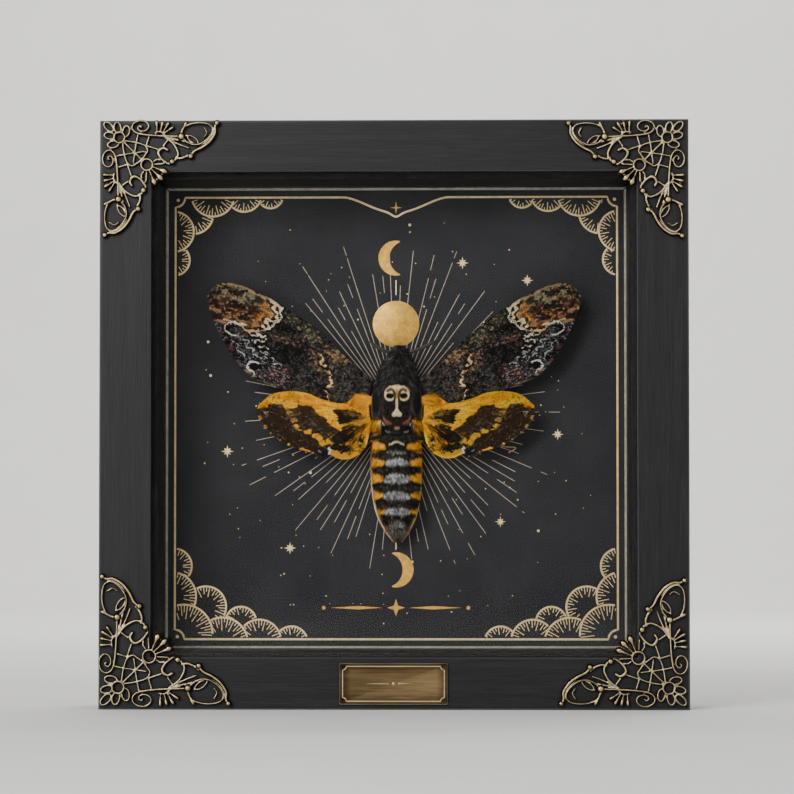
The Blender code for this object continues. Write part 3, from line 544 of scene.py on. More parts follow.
def dress(finish, *nodes):
    """Gives CAD nodes a better material."""
    for name in nodes:
        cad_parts[name].data.materials.clear()
        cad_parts[name].data.materials.append(finish.material)


def settle(obj, slot, *nodes):
    """Rides a piece on the one body and hides the nodes that it stands for. The slot is not used."""
    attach(obj, "root")
    if nodes:
        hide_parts(*nodes)


# Frame

SIDES = ("top", "right", "bottom", "left")
# The moulding: its face's width, its lip's thickness, the rebate's inset and the depth of its back
RAIL, LIP, REBATE, BACK = 15.0, 4.0, 12.0, 34.0
# What the Grain map moves on by from side to side, so that no two sides match
GRAIN_SHIFT = (311.0, 57.0)


def arc(centre, radius, start, end, steps):
    """Points on an arc between two angles in degrees."""
    t = np.radians(np.linspace(start, end, steps))
    return np.asarray(centre) + radius * np.stack([np.cos(t), np.sin(t)], -1)


def build_moulding(settings):
    """The moulding: its profile of (inset, depth), with rounded arrises, carried round the square.

    The Grain map is millimetres along each side and round the profile.
    """
    outer, inner = settings.arris / MM, settings.arris / MM / 2
    front = [arc((outer, outer), outer, 180, 270, 7), (outer + 0.3, 0.0), (14.2, 0.0),
             (RAIL - inner - 0.15, 0.0), arc((RAIL - inner, inner), inner, 270, 360, 6), (RAIL, inner + 0.15)]
    lip = [(RAIL, 3.8), (14.9, LIP), (REBATE, LIP)]
    back = [(REBATE, 33.9), (11.9, BACK), (0.3, BACK), (0.0, 33.7)]
    profile = np.vstack([(0.0, 30.0), (0.0, outer + 0.3), *front, *lip, *back])
    m = len(profile)
    signs = np.array([(-1, 1), (1, 1), (1, -1), (-1, -1)])
    reach = HALF - profile[:, 0]
    depth = np.broadcast_to(FACE + profile[:, 1], (4, m))
    shape = Shape()
    shape.loft(np.stack([signs[:, :1] * reach, depth, HALF + signs[:, 1:] * reach], -1), wrap=True)
    obj = shape.mesh("moulding_finish", painted_wood(settings), 28)
    corner, spot = np.divmod(loop_points(obj), m)
    corners, spots = corner.reshape(-1, 4), spot.reshape(-1, 4)
    side = np.where(np.ptp(corners, axis=1) == 3, 3, corners.min(1)).repeat(4)
    around = lengths_along(profile)
    closing = (np.ptp(spots, axis=1) == m - 1).repeat(4) & (spot == 0)
    u = np.where(corner == side, -1, 1) * reach[spot] + side * GRAIN_SHIFT[0]
    v = np.where(closing, around[-1] + 3, around[spot]) + side * GRAIN_SHIFT[1]
    set_map(obj, "Grain", np.stack([u, v], -1))
    settle(obj, "black_wood", *["moulding_" + s for s in SIDES])


def build_lining():
    """Glass, spacers, fillets, card, backboard, points and hanger: the solids with their own finishes.

    The spacers are matt black card with faint brown streaks along them, partly marks of the card and
    partly painted reflections. The printed card is black felted paper.
    The back is pressed hardboard faced with dark paper, and its metal is zinc-plated steel, whose
    crystals are about a millimetre across.
    """
    dress(frame_glass(), "glass")
    # Brown streaks: partly the card's own, partly painted reflections on the dark walls.
    stops = [(0.42, "0A0A0A"), (0.56, "171413"), (0.68, "2A211D")]
    streaks_and_reflections = Finish("spacer_card", 0.4, (0.03, 1.3, 0.03), stops, (0.55, 0.8), 0.03,
                      Specular_IOR_Level=0.25)
    dress(streaks_and_reflections, *["spacer_" + s for s in SIDES])
    dress(mat_board(), *["fillet_" + s for s in SIDES])
    stops = [(0.38, "1D1D20"), (0.5, "232325"), (0.62, "2A2A2C")]
    dress(Finish("black_card", 0.06, 2.6, stops, (0.8, 0.95), 0.006, Specular_IOR_Level=0.3), "card")
    stops = [(0.3, "37322D"), (0.5, "3F3A35"), (0.7, "4C4640")]
    dress(Finish("pressed_board", 0.06, (0.9, 0.9, 0.35), stops, (0.7, 0.9), 0.08), "backboard")
    stops = [(0.35, "8E9194"), (0.65, "C4C6C8")]
    zinc = Finish("zinc_steel", 0.9, (0.4, 2.0, 6.0), stops, (0.28, 0.48), 0.02, Metallic=1.0)
    dress(zinc, "hanger", *["point_" + s for s in SIDES])


# Printed card


class Print:
    """Stamped foil on the card: flat figures in (x, z) from the card's centre, a hair proud of it."""

    def __init__(self, rise):
        self.shape, self.rise = Shape(), rise

    def up(self, points, height):
        points = np.asarray(points, float)
        return np.stack([points[:, 0], np.full(len(points), CARD_FACE - height), HALF + points[:, 1]], -1)

    def line(self, path, width, closed=False):
        self.shape.sweep(self.up(path, 0), bar_section(width, self.rise), closed)

    def spoke(self, centre, angle, low, high, width):
        """A straight stroke on a ray from a centre."""
        self.line(np.vstack([arc(centre, reach, angle, angle, 1) for reach in (low, high)]), width)

    def figure(self, outline):
        """A filled figure whose middle can see every point of its outline."""
        middle = np.mean(outline, 0)
        low, high = self.up(outline, 0), self.up(middle + (outline - middle) * 0.985, self.rise * 1.3)
        self.shape.loft(np.stack([low, high]))

    def crescent(self, centre, radius, hollow, turn):
        """The part of a disc outside another of its size, which is moved along by a share of its radius."""
        half = math.degrees(math.acos(hollow / 2))
        outer = arc((0, 0), 1, half, 360 - half, 35)[1:-1]
        inner = arc((hollow, 0), 1, 180 - half, 180 + half, 35)[1:-1]
        c, s = math.cos(math.radians(turn)), math.sin(math.radians(turn))
        outer, inner = [side @ np.array([(c, s), (-s, c)]) * radius + centre for side in (outer, inner)]
        corners = ((outer, 0), (outer, 1.3 * self.rise), (inner, 1.3 * self.rise), (inner, 0))
        self.shape.loft(np.stack([self.up(side, height) for side, height in corners], 1))

    def star(self, centre, radius, points, waist, long=1.0):
        """A star: its outline goes from tip to waist, every other tip shorter by a share."""
        k = np.arange(2 * points)
        size = np.where(k % 2, waist, np.where(k % 4, long, 1.0)) * radius
        t = k * math.pi / points
        self.figure(np.stack([np.sin(t) * size, np.cos(t) * size], -1) + centre)

    def dot(self, centre, radius, sides=16):
        self.figure(arc(centre, radius, 0, 360, sides + 1)[:-1])

    def waves(self, discs, reach, notch):
        """Overlapping scallops of an arc and short ribs, the first in front. Each hides those behind.

        Only what lies within reach of the card's middle lines and outside the notch is drawn.
        """
        for k, (x, z, radius) in enumerate(discs):

            def runs(path):
                ahead = [np.hypot(*(path - (a, b)).T) < r + 0.25 for a, b, r in (notch, *discs[:k])]
                seen = ~np.any(ahead, axis=0) & (np.abs(path) < reach).all(1)
                marks = np.flatnonzero(np.diff(np.concatenate([[0], seen, [0]])))
                return [path[a:b] for a, b in marks.reshape(-1, 2) if b - a > 3]

            for run in runs(arc((x, z), radius, 0, 360, int(radius * 14))):
                self.line(run, 0.55)
            count = int(radius * 6.5)
            for j in range(count):
                angle = 360 * (j + 0.5) / count
                inner = (0.50, 0.74, 0.62, 0.82)[j % 4]
                along = arc((0, 0), 1, angle, angle, 1)
                for run in runs((x, z) + along * np.linspace(radius * inner, radius * 0.98, 9)[:, None]):
                    self.line(run[[0, -1]], 0.26)


BORDER = 65.5
BORDER_NOTCH = 2.8
BORDER_DIP = (15.5, 4.6)
RAY_CENTRE = np.array([0.0, 2.0])
RAY_REACHES = (46.5, 33.0, 41.0, 29.5)
# Discs of the scallops, as (x, z, radius) in from the border's corner
LOW_WAVES = [(2.0, 1.0, 8.6), (13.5, -1.8, 7.6), (24.5, -1.2, 6.4), (34.0, -1.6, 4.8), (-1.5, 12.0, 7.2),
             (8.6, 9.0, 6.0), (-0.8, 21.0, 5.2), (19.0, 4.4, 4.6)]
HIGH_WAVES = [(10.5, -1.4, 6.4), (19.8, -1.6, 5.2), (27.6, -1.2, 3.8), (-1.2, 9.5, 6.0), (-1.0, 18.0, 4.6),
              (4.6, 4.2, 6.0)]


def build_card_print(settings):
    """Foil print: a notched border, scallops in its corners, a burst of rays and a scatter of stars."""
    thin, full, burst = [Print(settings.foil / MM) for _ in range(3)]
    print_border(thin)
    rng = np.random.default_rng(41)
    for k in range(settings.rays):
        angle = 90 + 360 * (k + 0.5) / settings.rays + rng.uniform(-0.5, 0.5)
        outer = RAY_REACHES[k % 4] + rng.uniform(-3.5, 1.5)
        burst.spoke(RAY_CENTRE, angle, 10.6 + 1.6 * (k % 2), outer, 0.2)
        if k % 4 == 1 or rng.random() < 0.3:
            start = outer + rng.uniform(2.0, 4.0)
            burst.spoke(RAY_CENTRE, angle, start, min(48.5, start + rng.uniform(3.5, 8.0)), 0.2)
    print_middle(thin, full)
    taken = []
    while len(taken) < 8:
        spot = rng.uniform(-50, 50, 2)
        clear = np.hypot(*(spot - RAY_CENTRE)) > 44 and abs(spot).sum() < 84 and abs(spot[0]) > 10
        if clear and all(np.hypot(*(spot - other)) > 18 for other in taken):
            taken.append(spot)
            thin.star(spot, rng.uniform(1.2, 1.9), 8, 0.36, 0.75)
    for _ in range(190):
        spot = rng.uniform(-61, 61, 2)
        if np.hypot(*(spot - RAY_CENTRE)) > 24 and abs(spot).sum() < 88:
            thin.dot(spot, rng.choice([0.13, 0.18, 0.24, 0.42], p=[0.5, 0.3, 0.14, 0.06]), 8)
    for printed, name, foil in (
        (thin, "print_lines", ("pale_foil", "CDB27C", "F2DDAA")),
        (full, "print_figures", ("gold_foil", "B0822F", "E2B456")),
        (burst, "print_rays", ("thin_foil", "8F8474", "B9AC98")),
    ):
        settle(printed.shape.mesh(name, gilt(*foil), 40), "printed_card")


def print_border(thin):
    """A line with notched corners, a dot in each, and a dip of half a cosine wave under the top star."""
    quarters = ((1, 1), (-1, 1), (-1, -1), (1, -1))
    corners = [(sx * BORDER, sz * BORDER) for sx, sz in quarters]
    notches = [arc(corner, BORDER_NOTCH, s, s - 90, 9) for corner, s in zip(corners, (270, 0, 90, 180))]
    t = np.linspace(1, -1, 41)
    half_width, deep = BORDER_DIP
    fall = deep * (0.5 + 0.5 * np.cos(t * math.pi)) ** 0.8 + 1.2 * np.exp(-((t * 9) ** 2))
    dip = np.stack([t * half_width, BORDER - fall], -1)
    thin.line(np.vstack([notches[0], dip, *notches[1:]]), 0.6, closed=True)
    inner = BORDER - 0.6
    for (sx, sz), corner in zip(quarters, corners):
        thin.dot((sx * (BORDER - 0.75), sz * (BORDER - 0.75)), 0.5)
        waves = [(sx * (inner - a), sz * (inner - b), r) for a, b, r in (LOW_WAVES if sz < 0 else HIGH_WAVES)]
        thin.waves(waves, inner, (*corner, BORDER_NOTCH + 0.7))


def print_middle(thin, full):
    """The row of moons with its two short stems, the low flourish and the top star."""
    full.crescent((0.0, 47.4), 5.2, 0.62, 0)
    full.dot((0.0, 27.8), 6.9, 48)
    full.crescent((0.0, -45.0), 5.2, 0.62, 180)
    for low, high in ((36.4, 40.8), (-39.0, -35.0)):
        thin.line([(0.0, low), (0.0, high)], 0.34)
    low = -56.2
    full.star((0.0, low), 2.6, 4, 0.34)
    for sx in (-1, 1):
        diamond = [(sx * 4.0, low), (sx * 11.0, low + 0.5), (sx * 19.4, low), (sx * 11.0, low - 0.5)]
        full.figure(np.array(diamond))
        full.dot((sx * 21.4, low), 0.55)
    full.star((0.0, 62.4), 1.9, 4, 0.2)


# Castings and plate

# The castings: their corner's side in x and z, their size, and how far they lie off its sides
CASTINGS = {
    "top_left": ((-1, 1), 1.0, (0.4, -0.3)),
    "top_right": ((1, 1), 1.005, (0.8, 0.1)),
    "bottom_left": ((-1, -1), 1.125, (-0.25, 0.35)),
    "bottom_right": ((1, -1), 1.09, (0.3, 0.45)),
}
# Strokes of one arm, as (a, b) from the frame's corner: knots, widths along it, height
STROKES = [
    ([(11.3, 4.4), (14.0, 4.75), (18.0, 5.0), (23.0, 5.15)], [0.8, 0.8], 1.25),
    ([(25.0, 4.9), (26.2, 5.0), (27.6, 5.9), (28.2, 7.2), (26.6, 6.9), (25.4, 5.9), (25.0, 4.9)],
     [0.45], 0.9),
    ([(30.0, 2.6), (30.7, 4.0), (30.0, 5.2)], [0.5, 0.4], 0.8),
    ([(33.4, 1.3), (33.05, 2.5), (33.05, 4.3), (31.6, 6.6), (29.4, 8.3), (27.3, 9.35), (26.2, 10.5)],
     [0.85, 1.0, 1.1, 1.15, 1.15, 1.05, 0.85], 1.45),
    ([(25.8, 10.0), (24.6, 11.0), (23.0, 11.5), (22.0, 11.3)], [0.8, 1.0, 0.85], 1.2),
    ([(18.3, 5.2), (20.7, 6.9), (22.0, 8.8), (22.4, 10.4), (21.6, 12.0)], [0.75, 0.85, 0.75], 1.15),
    ([(19.4, 13.0), (17.65, 11.65), (16.7, 10.05), (17.15, 8.95), (18.3, 8.5), (19.1, 8.9)],
     [0.7, 0.9, 1.1, 1.25, 1.0, 1.05], 1.3),
    ([(19.2, 6.4), (18.2, 7.8)], [0.55], 0.95),
    ([(13.9, 5.4), (13.2, 7.7)], [0.55], 0.95),
    ([(13.7, 7.9), (16.6, 8.9)], [0.55], 0.95),
    ([(19.0, 5.3), (21.5, 6.0), (24.3, 6.7), (25.2, 7.3)], [0.6, 0.5], 1.0),
    ([(20.1, 6.1), (22.9, 7.5), (25.3, 8.4)], [0.52], 0.95),
    ([(6.7, 6.3), (10.0, 6.8), (12.7, 7.7), (13.6, 9.2), (13.0, 10.3), (12.1, 11.6)], [0.62], 1.05),
    ([(10.8, 4.4), (10.2, 7.5), (9.9, 9.7), (9.5, 12.5)], [0.55], 0.95),
    ([(15.4, 12.3), (16.2, 11.8), (17.0, 11.9)], [0.5, 0.6], 1.0),
]
LOOP = [(23.2, 4.7), (24.2, 2.6), (26.3, 1.5), (29.1, 1.25), (31.5, 1.8), (32.4, 3.2), (31.8, 4.9),
        (30.2, 6.5), (28.1, 7.5), (26.0, 7.3), (24.3, 6.2), (23.2, 4.7)]
# Root, tip and width at the tip
BUDS = [((16.3, 3.7), (16.2, 0.9), 1.3), ((17.3, 3.7), (17.9, 1.1), 1.3), ((18.1, 3.8), (19.6, 1.3), 1.3),
        ((18.6, 4.0), (20.8, 2.6), 1.15)]
# Beads of one arm, as (a, b), radius and height
BEADS = [(11.75, 2.45, 0.4, 1.2), (23.3, 5.2, 1.25, 1.75), (33.65, 1.3, 1.0, 1.75),
         (26.1, 10.9, 1.05, 1.65), (20.7, 12.4, 1.05, 1.5)]
# The two round flowers on the corner's diagonal: centre and radius
FLOWER, SUN = ((5.4, 5.4), 1.56), ((13.4, 13.3), 1.66)
# Rays of the sun: degrees, reach, width at the tip and height
SUN_RAYS = [(21, 5.9, 1.8, 1.75), (44, 6.0, 1.8, 1.75), (67, 5.9, 1.8, 1.75), (-3, 4.9, 0.7, 1.1),
            (93, 4.9, 0.7, 1.1)]
STROKE_GAIN = 1.16
STROKE_BASE = 0.62


class Casting:
    """One pierced corner casting: round strokes in (a, b) from the frame's outer corner, with flat
    backs a hair off the wood, melted into one skin by a fine voxel remesh."""

    def __init__(self, signs, size, offset):
        self.signs, self.size, self.offset = signs, size, offset
        self.shape = Shape()

    def place(self, path, height):
        """Points in the frame of (a, b) places, at a height off the moulding's face."""
        path = np.asarray(path, float) * self.size + self.offset
        x = self.signs[0] * (HALF - path[:, 0])
        z = HALF + self.signs[1] * (HALF - path[:, 1])
        return np.stack([x, FACE - np.broadcast_to(height, x.shape), z], -1)

    def stroke(self, knots, widths, height, steps=7, closed=False):
        """A stroke whose width follows the given widths, higher where it is wider."""
        path = np.asarray(knots, float) if closed else smooth_path(knots, steps)
        widths = STROKE_GAIN * np.interp(np.linspace(0, 1, len(path)), np.linspace(0, 1, len(widths)), widths)
        crest = 0.3 + height * (0.6 + 0.4 * widths / widths.max()) - STROKE_BASE
        section = oval_section(widths / 2, crest, STROKE_BASE - 0.3)
        self.shape.sweep(self.place(path, STROKE_BASE), section, closed, not closed)

    def ring(self, centre, long, wide, width, height, turn=0.0):
        """An oval ring of half sizes long and wide, turned by some degrees."""
        oval = arc((0, 0), 1, 0, 360, 29)[:-1] * (long, wide)
        c, s = math.cos(math.radians(turn)), math.sin(math.radians(turn))
        self.stroke(oval @ np.array([(c, s), (-s, c)]) + centre, [width], height, closed=True)

    def bead(self, a, b, radius, height):
        ball(self.shape, self.place([(a, b)], 0.3 + height * 0.35)[0], (radius, height * 0.65, radius))

    def club(self, start, end, narrow, wide, height):
        """A straight stroke that swells to its tip."""
        start, end = np.asarray(start, float), np.asarray(end, float)
        knots = start + (end - start) * np.array([0.0, 0.36, 0.6, 0.86])[:, None]
        self.stroke(knots, [narrow, narrow * 1.15, wide * 0.75, wide], height, 5)

    def arm(self, way):
        """Coil, stem, buds, open leaf, scrolls and hooks along one side of the corner."""
        for knots, widths, height in STROKES:
            self.stroke(np.asarray(knots)[:, ::way], widths, height)
        t = np.radians(np.linspace(90, 600, 40))
        shrink = 1 - 0.78 * np.clip((np.degrees(t) - 280) / 320, 0, 1)
        coil = np.stack([11.75 + 2.65 * shrink * np.cos(t), 2.45 + 1.9 * shrink * np.sin(t)], -1)
        self.stroke(coil[:, ::way], [0.7, 0.64, 0.52, 0.5], 1.2, 1)
        self.stroke(smooth_path(LOOP, 4)[:-1, ::way], [0.62], 1.2, closed=True)
        self.stroke(np.array([(16.0, 3.9), (17.4, 3.8), (19.0, 4.9)])[:, ::way], [0.55], 1.1)
        for start, tip, width in BUDS:
            self.club(start[::way], tip[::way], 0.42, width, 1.4)
        self.club((23.0, 4.5)[::way], (24.8, 1.1)[::way], 0.6, 1.2, 1.45)
        for a, b, radius, height in BEADS:
            self.bead(*(a, b)[::way], radius, height)

    def build(self, name, finish):
        """Both arms, the flower with its petals, the sun with its rays and the stem between them."""
        self.arm(1)
        self.arm(-1)
        for centre, radius in (FLOWER, SUN):
            self.ring(centre, radius, radius, 0.75, 1.3)
        self.ring((2.3, 2.3), 1.7, 0.95, 0.62, 1.15, 45)
        for centre, turn in (((4.9, 2.6), 78), ((7.4, 3.6), 98)):
            self.ring(centre, 1.6, 0.95, 0.62, 1.15, turn)
            self.ring(centre[::-1], 1.6, 0.95, 0.62, 1.15, 90 - turn)
        for degrees, far, width, height in SUN_RAYS:
            start, end, tip = [arc(SUN[0], r, degrees, degrees, 1)[0] for r in (1.9, far, 5.3)]
            self.club(start, end, 0.45, width, height)
            if width > 1:
                self.bead(*tip, 1.12, height)
        self.stroke([(6.4, 6.4), (12.3, 12.2)], [0.62], 1.05)
        obj = self.shape.mesh(name, finish)
        melt = obj.modifiers.new("melt", "REMESH")
        melt.mode, melt.voxel_size, melt.use_smooth_shade = "VOXEL", 0.15 * MM, True
        ease = obj.modifiers.new("ease", "SMOOTH")
        ease.factor, ease.iterations = 0.5, 3
        bpy.context.view_layer.update()
        graph = bpy.context.evaluated_depsgraph_get()
        melted = bpy.data.meshes.new_from_object(obj.evaluated_get(graph))
        obj.modifiers.clear()
        obj.data = melted
        return obj


def build_castings():
    finish = cast_brass()
    for name, row in CASTINGS.items():
        settle(Casting(*row).build("casting_" + name, finish), "antique_brass", "corner_" + name)


def rounded_outline(half_width, half_height, radius, steps, hollow=False):
    """A rectangle as (x, z) from its centre, its corners quarter rounds that bulge out or are hollow."""
    made = []
    for quarter, (sx, sz) in enumerate([(1, 1), (-1, 1), (-1, -1), (1, -1)]):
        start = 90 * quarter
        inset, ends = (0.0, (start + 270, start + 180)) if hollow else (radius, (start, start + 90))
        made.append(arc((sx * (half_width - inset), sz * (half_height - inset)), radius, *ends, steps))
    return np.vstack(made)


def build_plate():
    """The plaque: a plate with softened edges, a raised rim with hollow corners and a small flourish."""
    low, high = (np.array(corner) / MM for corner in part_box("plaque"))
    half = (high - low) / 2
    centre = np.array([0.0, FACE, (low[2] + high[2]) / 2])

    def raised(flat, rise):
        return np.stack([flat[:, 0], np.full(len(flat), -rise), flat[:, 1]], -1) + centre

    shape = Shape()
    # Inset and height of each ring from the plate's foot over its softened edge
    steps = ((0.06, 0.3), (0.0, 0.38), (0.0, 0.8), (0.12, 0.98), (0.32, 1.02), (0.5, 0.96))
    rings = [raised(rounded_outline(half[0] - inset, half[2] - inset, 0.35, 5), rise)
             for inset, rise in steps]
    shape.loft(np.stack(rings))
    rim = raised(rounded_outline(half[0] - 0.92, half[2] - 0.92, 1.05, 7, True), 0.95)
    shape.sweep(rim, oval_section(0.26, 0.36, 0.2), closed=True)
    taper = oval_section(np.array([0.3, 0.22, 0.06]), np.array([0.16, 0.14, 0.05]))
    for way in (-1, 1):
        shape.sweep(centre + [(way * x, -0.97, 0.0) for x in (1.6, 4.0, 7.6)], taper, rounded=True)
    ball(shape, centre + (0, -0.97, 0), (0.55, 0.22, 0.55), 6, 4)
    settle(shape.mesh("plaque_finish", brushed_brass(), 32), "antique_brass", "plaque")


# Body of the moth

# Its sections from tail to head: height, half width, half depth, depth of the middle
SECTIONS = np.array(
    [
        (-41.5, 0.6, 0.6, 24.1), (-41.0, 1.5, 1.3, 23.9), (-39.4, 2.7, 2.6, 23.5), (-36.8, 4.1, 3.7, 23.0),
        (-34.3, 5.5, 4.5, 22.6), (-30.5, 6.8, 5.0, 22.3), (-26.5, 7.2, 5.3, 22.1), (-21.5, 7.45, 5.5, 22.0),
        (-16.5, 7.6, 5.6, 21.9), (-12.2, 7.3, 5.4, 21.9), (-10.8, 6.3, 4.8, 21.9), (-9.5, 5.6, 4.3, 21.8),
        (-8.5, 6.1, 4.8, 21.7), (-7.0, 7.0, 5.6, 21.5), (-4.6, 7.6, 6.1, 21.4), (-1.5, 7.8, 6.3, 21.4),
        (1.8, 7.5, 6.2, 21.4), (4.6, 6.9, 5.7, 21.5), (7.0, 6.0, 5.0, 21.7), (9.1, 4.95, 4.0, 21.8),
        (10.8, 4.1, 3.6, 21.9), (12.2, 3.2, 3.2, 22.0), (13.7, 2.35, 2.6, 22.1), (15.1, 1.5, 1.8, 22.2),
        (16.2, 0.6, 0.8, 22.3),
    ]
)
# Heights where the abdomen's segments meet
SEGMENTS = np.array([-10.2, -15.2, -20.1, -25.1, -29.9, -34.3, -38.2, -42.2])
LOW_END, HIGH_END = SECTIONS[0, 0], SECTIONS[-1, 0]
COAT_DEPTH = 0.35


def body_bend(height):
    """How far the body leans to the right: it curves that way towards both ends."""
    return np.where(height > 0, 1.0 * (height / 16.2) ** 2, 0.25 * (-height / 42.0) ** 3)


def section_at(height):
    return [np.interp(height, SECTIONS[:, 0], SECTIONS[:, k]) for k in (1, 2, 3)]


def body_point(s, t):
    """The body's skin: at share s of its length an oval, run round by share t of a turn from its right.

    The ovals are the solids' own less the coat. Each segment swells towards its hind edge and steps
    in, and the shoulder lobes are low mounds along both sides of the thorax with a step at their end.
    """
    height = LOW_END + s * (HIGH_END - LOW_END)
    wide, deep, middle = section_at(height)
    turn = 2 * math.pi * t
    index = np.clip(np.searchsorted(-SEGMENTS, -height) - 1, 0, len(SEGMENTS) - 2)
    share = np.clip((SEGMENTS[index] - height) / (SEGMENTS[index] - SEGMENTS[index + 1]), 0, 1)
    swell = np.where(height < SEGMENTS[0], 0.34 * (share**1.5 - 0.55) * np.clip(wide / 4, 0, 1), 0)
    lobe_turn = np.where(np.cos(turn) > 0, math.radians(-47), math.radians(227))
    across = np.angle(np.exp(1j * (turn - lobe_turn))) * 7.2
    lobe = np.exp(-((across / 1.7) ** 2)) * soft_step(height, -5.4, 0.7) * (1 - soft_step(height, 3.6, 5.0))
    less = np.minimum(COAT_DEPTH, 0.5 * np.minimum(wide, deep)) - swell - 0.75 * lobe
    x = body_bend(height) + (wide - less) * np.cos(turn)
    y = middle + (deep - less) * np.sin(turn)
    return MOTH + np.stack([x, y, height], -1)


def scatter(surface, rows, cols, count, rng):
    """Random places (s, t) spread evenly over a surface: cells are drawn by their area."""
    s, t = np.meshgrid((np.arange(rows) + 0.5) / rows, (np.arange(cols) + 0.5) / cols, indexing="ij")
    ds, dt = 0.5 / rows, 0.5 / cols
    along, across = surface(s + ds, t) - surface(s - ds, t), surface(s, t + dt) - surface(s, t - dt)
    area = np.linalg.norm(np.cross(along, across), axis=-1)
    cell = rng.choice(area.size, count, p=(area / area.sum()).ravel())
    return (cell // cols + rng.random(count)) / rows, (cell % cols + rng.random(count)) / cols


def surface_frame(surface, s, t, flip=1):
    """Place, outward normal, and the unit directions of growing s and t on a surface."""
    step = 1e-3
    here = surface(s, t)
    ds = surface(np.clip(s + step, 0, 1), t) - surface(np.clip(s - step, 0, 1), t)
    dt = surface(s, t + step) - surface(s, t - step)
    ds, dt = [d / np.maximum(np.linalg.norm(d, axis=-1), 1e-9)[..., None] for d in (ds, dt)]
    return here, unit(np.cross(dt, ds) * flip), ds, dt


TUFT_FACES = np.array([(0, 2, 1), (0, 1, 3), (1, 2, 3), (2, 0, 3)])


def hair_points(width, length, lift):
    """A slim three-sided tuft: (along, across, up) of three root points and a tip."""
    zero, low = np.zeros_like(width), -0.3 * width
    root = [(zero, -width / 2, low), (zero, width / 2, low), (0.2 * length, zero, 0.5 * width + 0.35 * lift)]
    return np.moveaxis(np.array([*root, (length, zero, lift)]), -1, 0)


def scale_points(width, length, lift):
    """A kite-shaped scale with a ridge: root, two low sides past its middle, and a raised tip."""
    zero, out, low = np.zeros_like(width), 0.55 * length, 0.1 * lift
    made = [(zero, zero, zero), (out, width / 2, low), (out, -width / 2, low), (length, zero, lift)]
    return np.moveaxis(np.array(made), -1, 0)


def coat_mesh(name, finish, made, place, colours, jitter):
    """One mesh of many tufts. Each is carried to its root and turned to lie along the coat.

    The colours are one for each tuft, or a function of the places of their points. A tuft's OFBake
    patch is 0.003 across, at its root's place on the skin's own map.
    """
    root, normal, along, uv = place
    world = root[:, None]
    for k, axis in enumerate((along, unit(np.cross(normal, along)), normal)):
        world = world + made[..., k : k + 1] * axis[:, None]
    n, m = made.shape[:2]
    faces = TUFT_FACES if shell_volume(made[0], TUFT_FACES) > 0 else TUFT_FACES[:, ::-1]
    faces = (faces + (np.arange(n) * m)[:, None, None]).reshape(-1, 3)
    obj = mesh_object(name, world.reshape(-1, 3), [faces], finish)
    colours = colours(world) if callable(colours) else np.repeat(colours[:, None], m, 1)
    set_tint(obj, np.clip(colours * jitter[:, None, None], 0, 1).reshape(-1, 3))
    local = made[..., :2] - made[..., :2].min(1, keepdims=True)
    local = local / np.maximum(local.max(1, keepdims=True), 1e-9) - 0.5
    places = (0.004 + 0.992 * uv[:, None] + 0.003 * local).reshape(-1, 2)
    set_map(obj, "OFBake", places[loop_points(obj)])
    return obj


# Markings of the body, as (x, height) for its right half. The mask's middle is this far right of the body's.

MASK_SHIFT = 0.15
MASK = [(0, 4.5), (0.5, 4.35), (1.0, 4.15), (2.1, 4.15), (3.0, 3.5), (3.6, 2.4), (3.75, 1.5), (3.4, 0.4),
        (2.7, -0.15), (2.0, -0.28), (1.2, -0.05), (0.72, 0.6), (0.62, 1.6), (0.3, 1.9), (0, 1.9)]
NOSE = [(0, -2.5), (0.5, -2.75), (0.75, -3.3), (1.3, -3.7), (1.45, -4.3), (1.15, -4.85), (0.55, -4.85),
        (0, -4.6)]
LOBE_LINE = [(5.0, 1.6), (4.85, -0.5), (4.75, -2.8), (5.2, -4.3), (5.9, -5.1), (6.6, -4.6), (7.15, -2.8),
             (7.25, -0.4), (7.1, 1.8)]
# Height and half height of the yellow spots, and with half width of the grey bands
ABDOMEN_SPOTS = [(-14.0, 1.4), (-18.7, 1.15), (-23.2, 1.25), (-28.2, 1.0), (-33.0, 0.75)]
ABDOMEN_GREYS = [(-15.7, 0.6, 2.9), (-18.8, 1.3, 3.5), (-23.6, 1.5, 3.9), (-28.6, 1.45, 4.1),
                 (-33.2, 1.3, 4.2), (-38.6, 2.6, 3.4)]


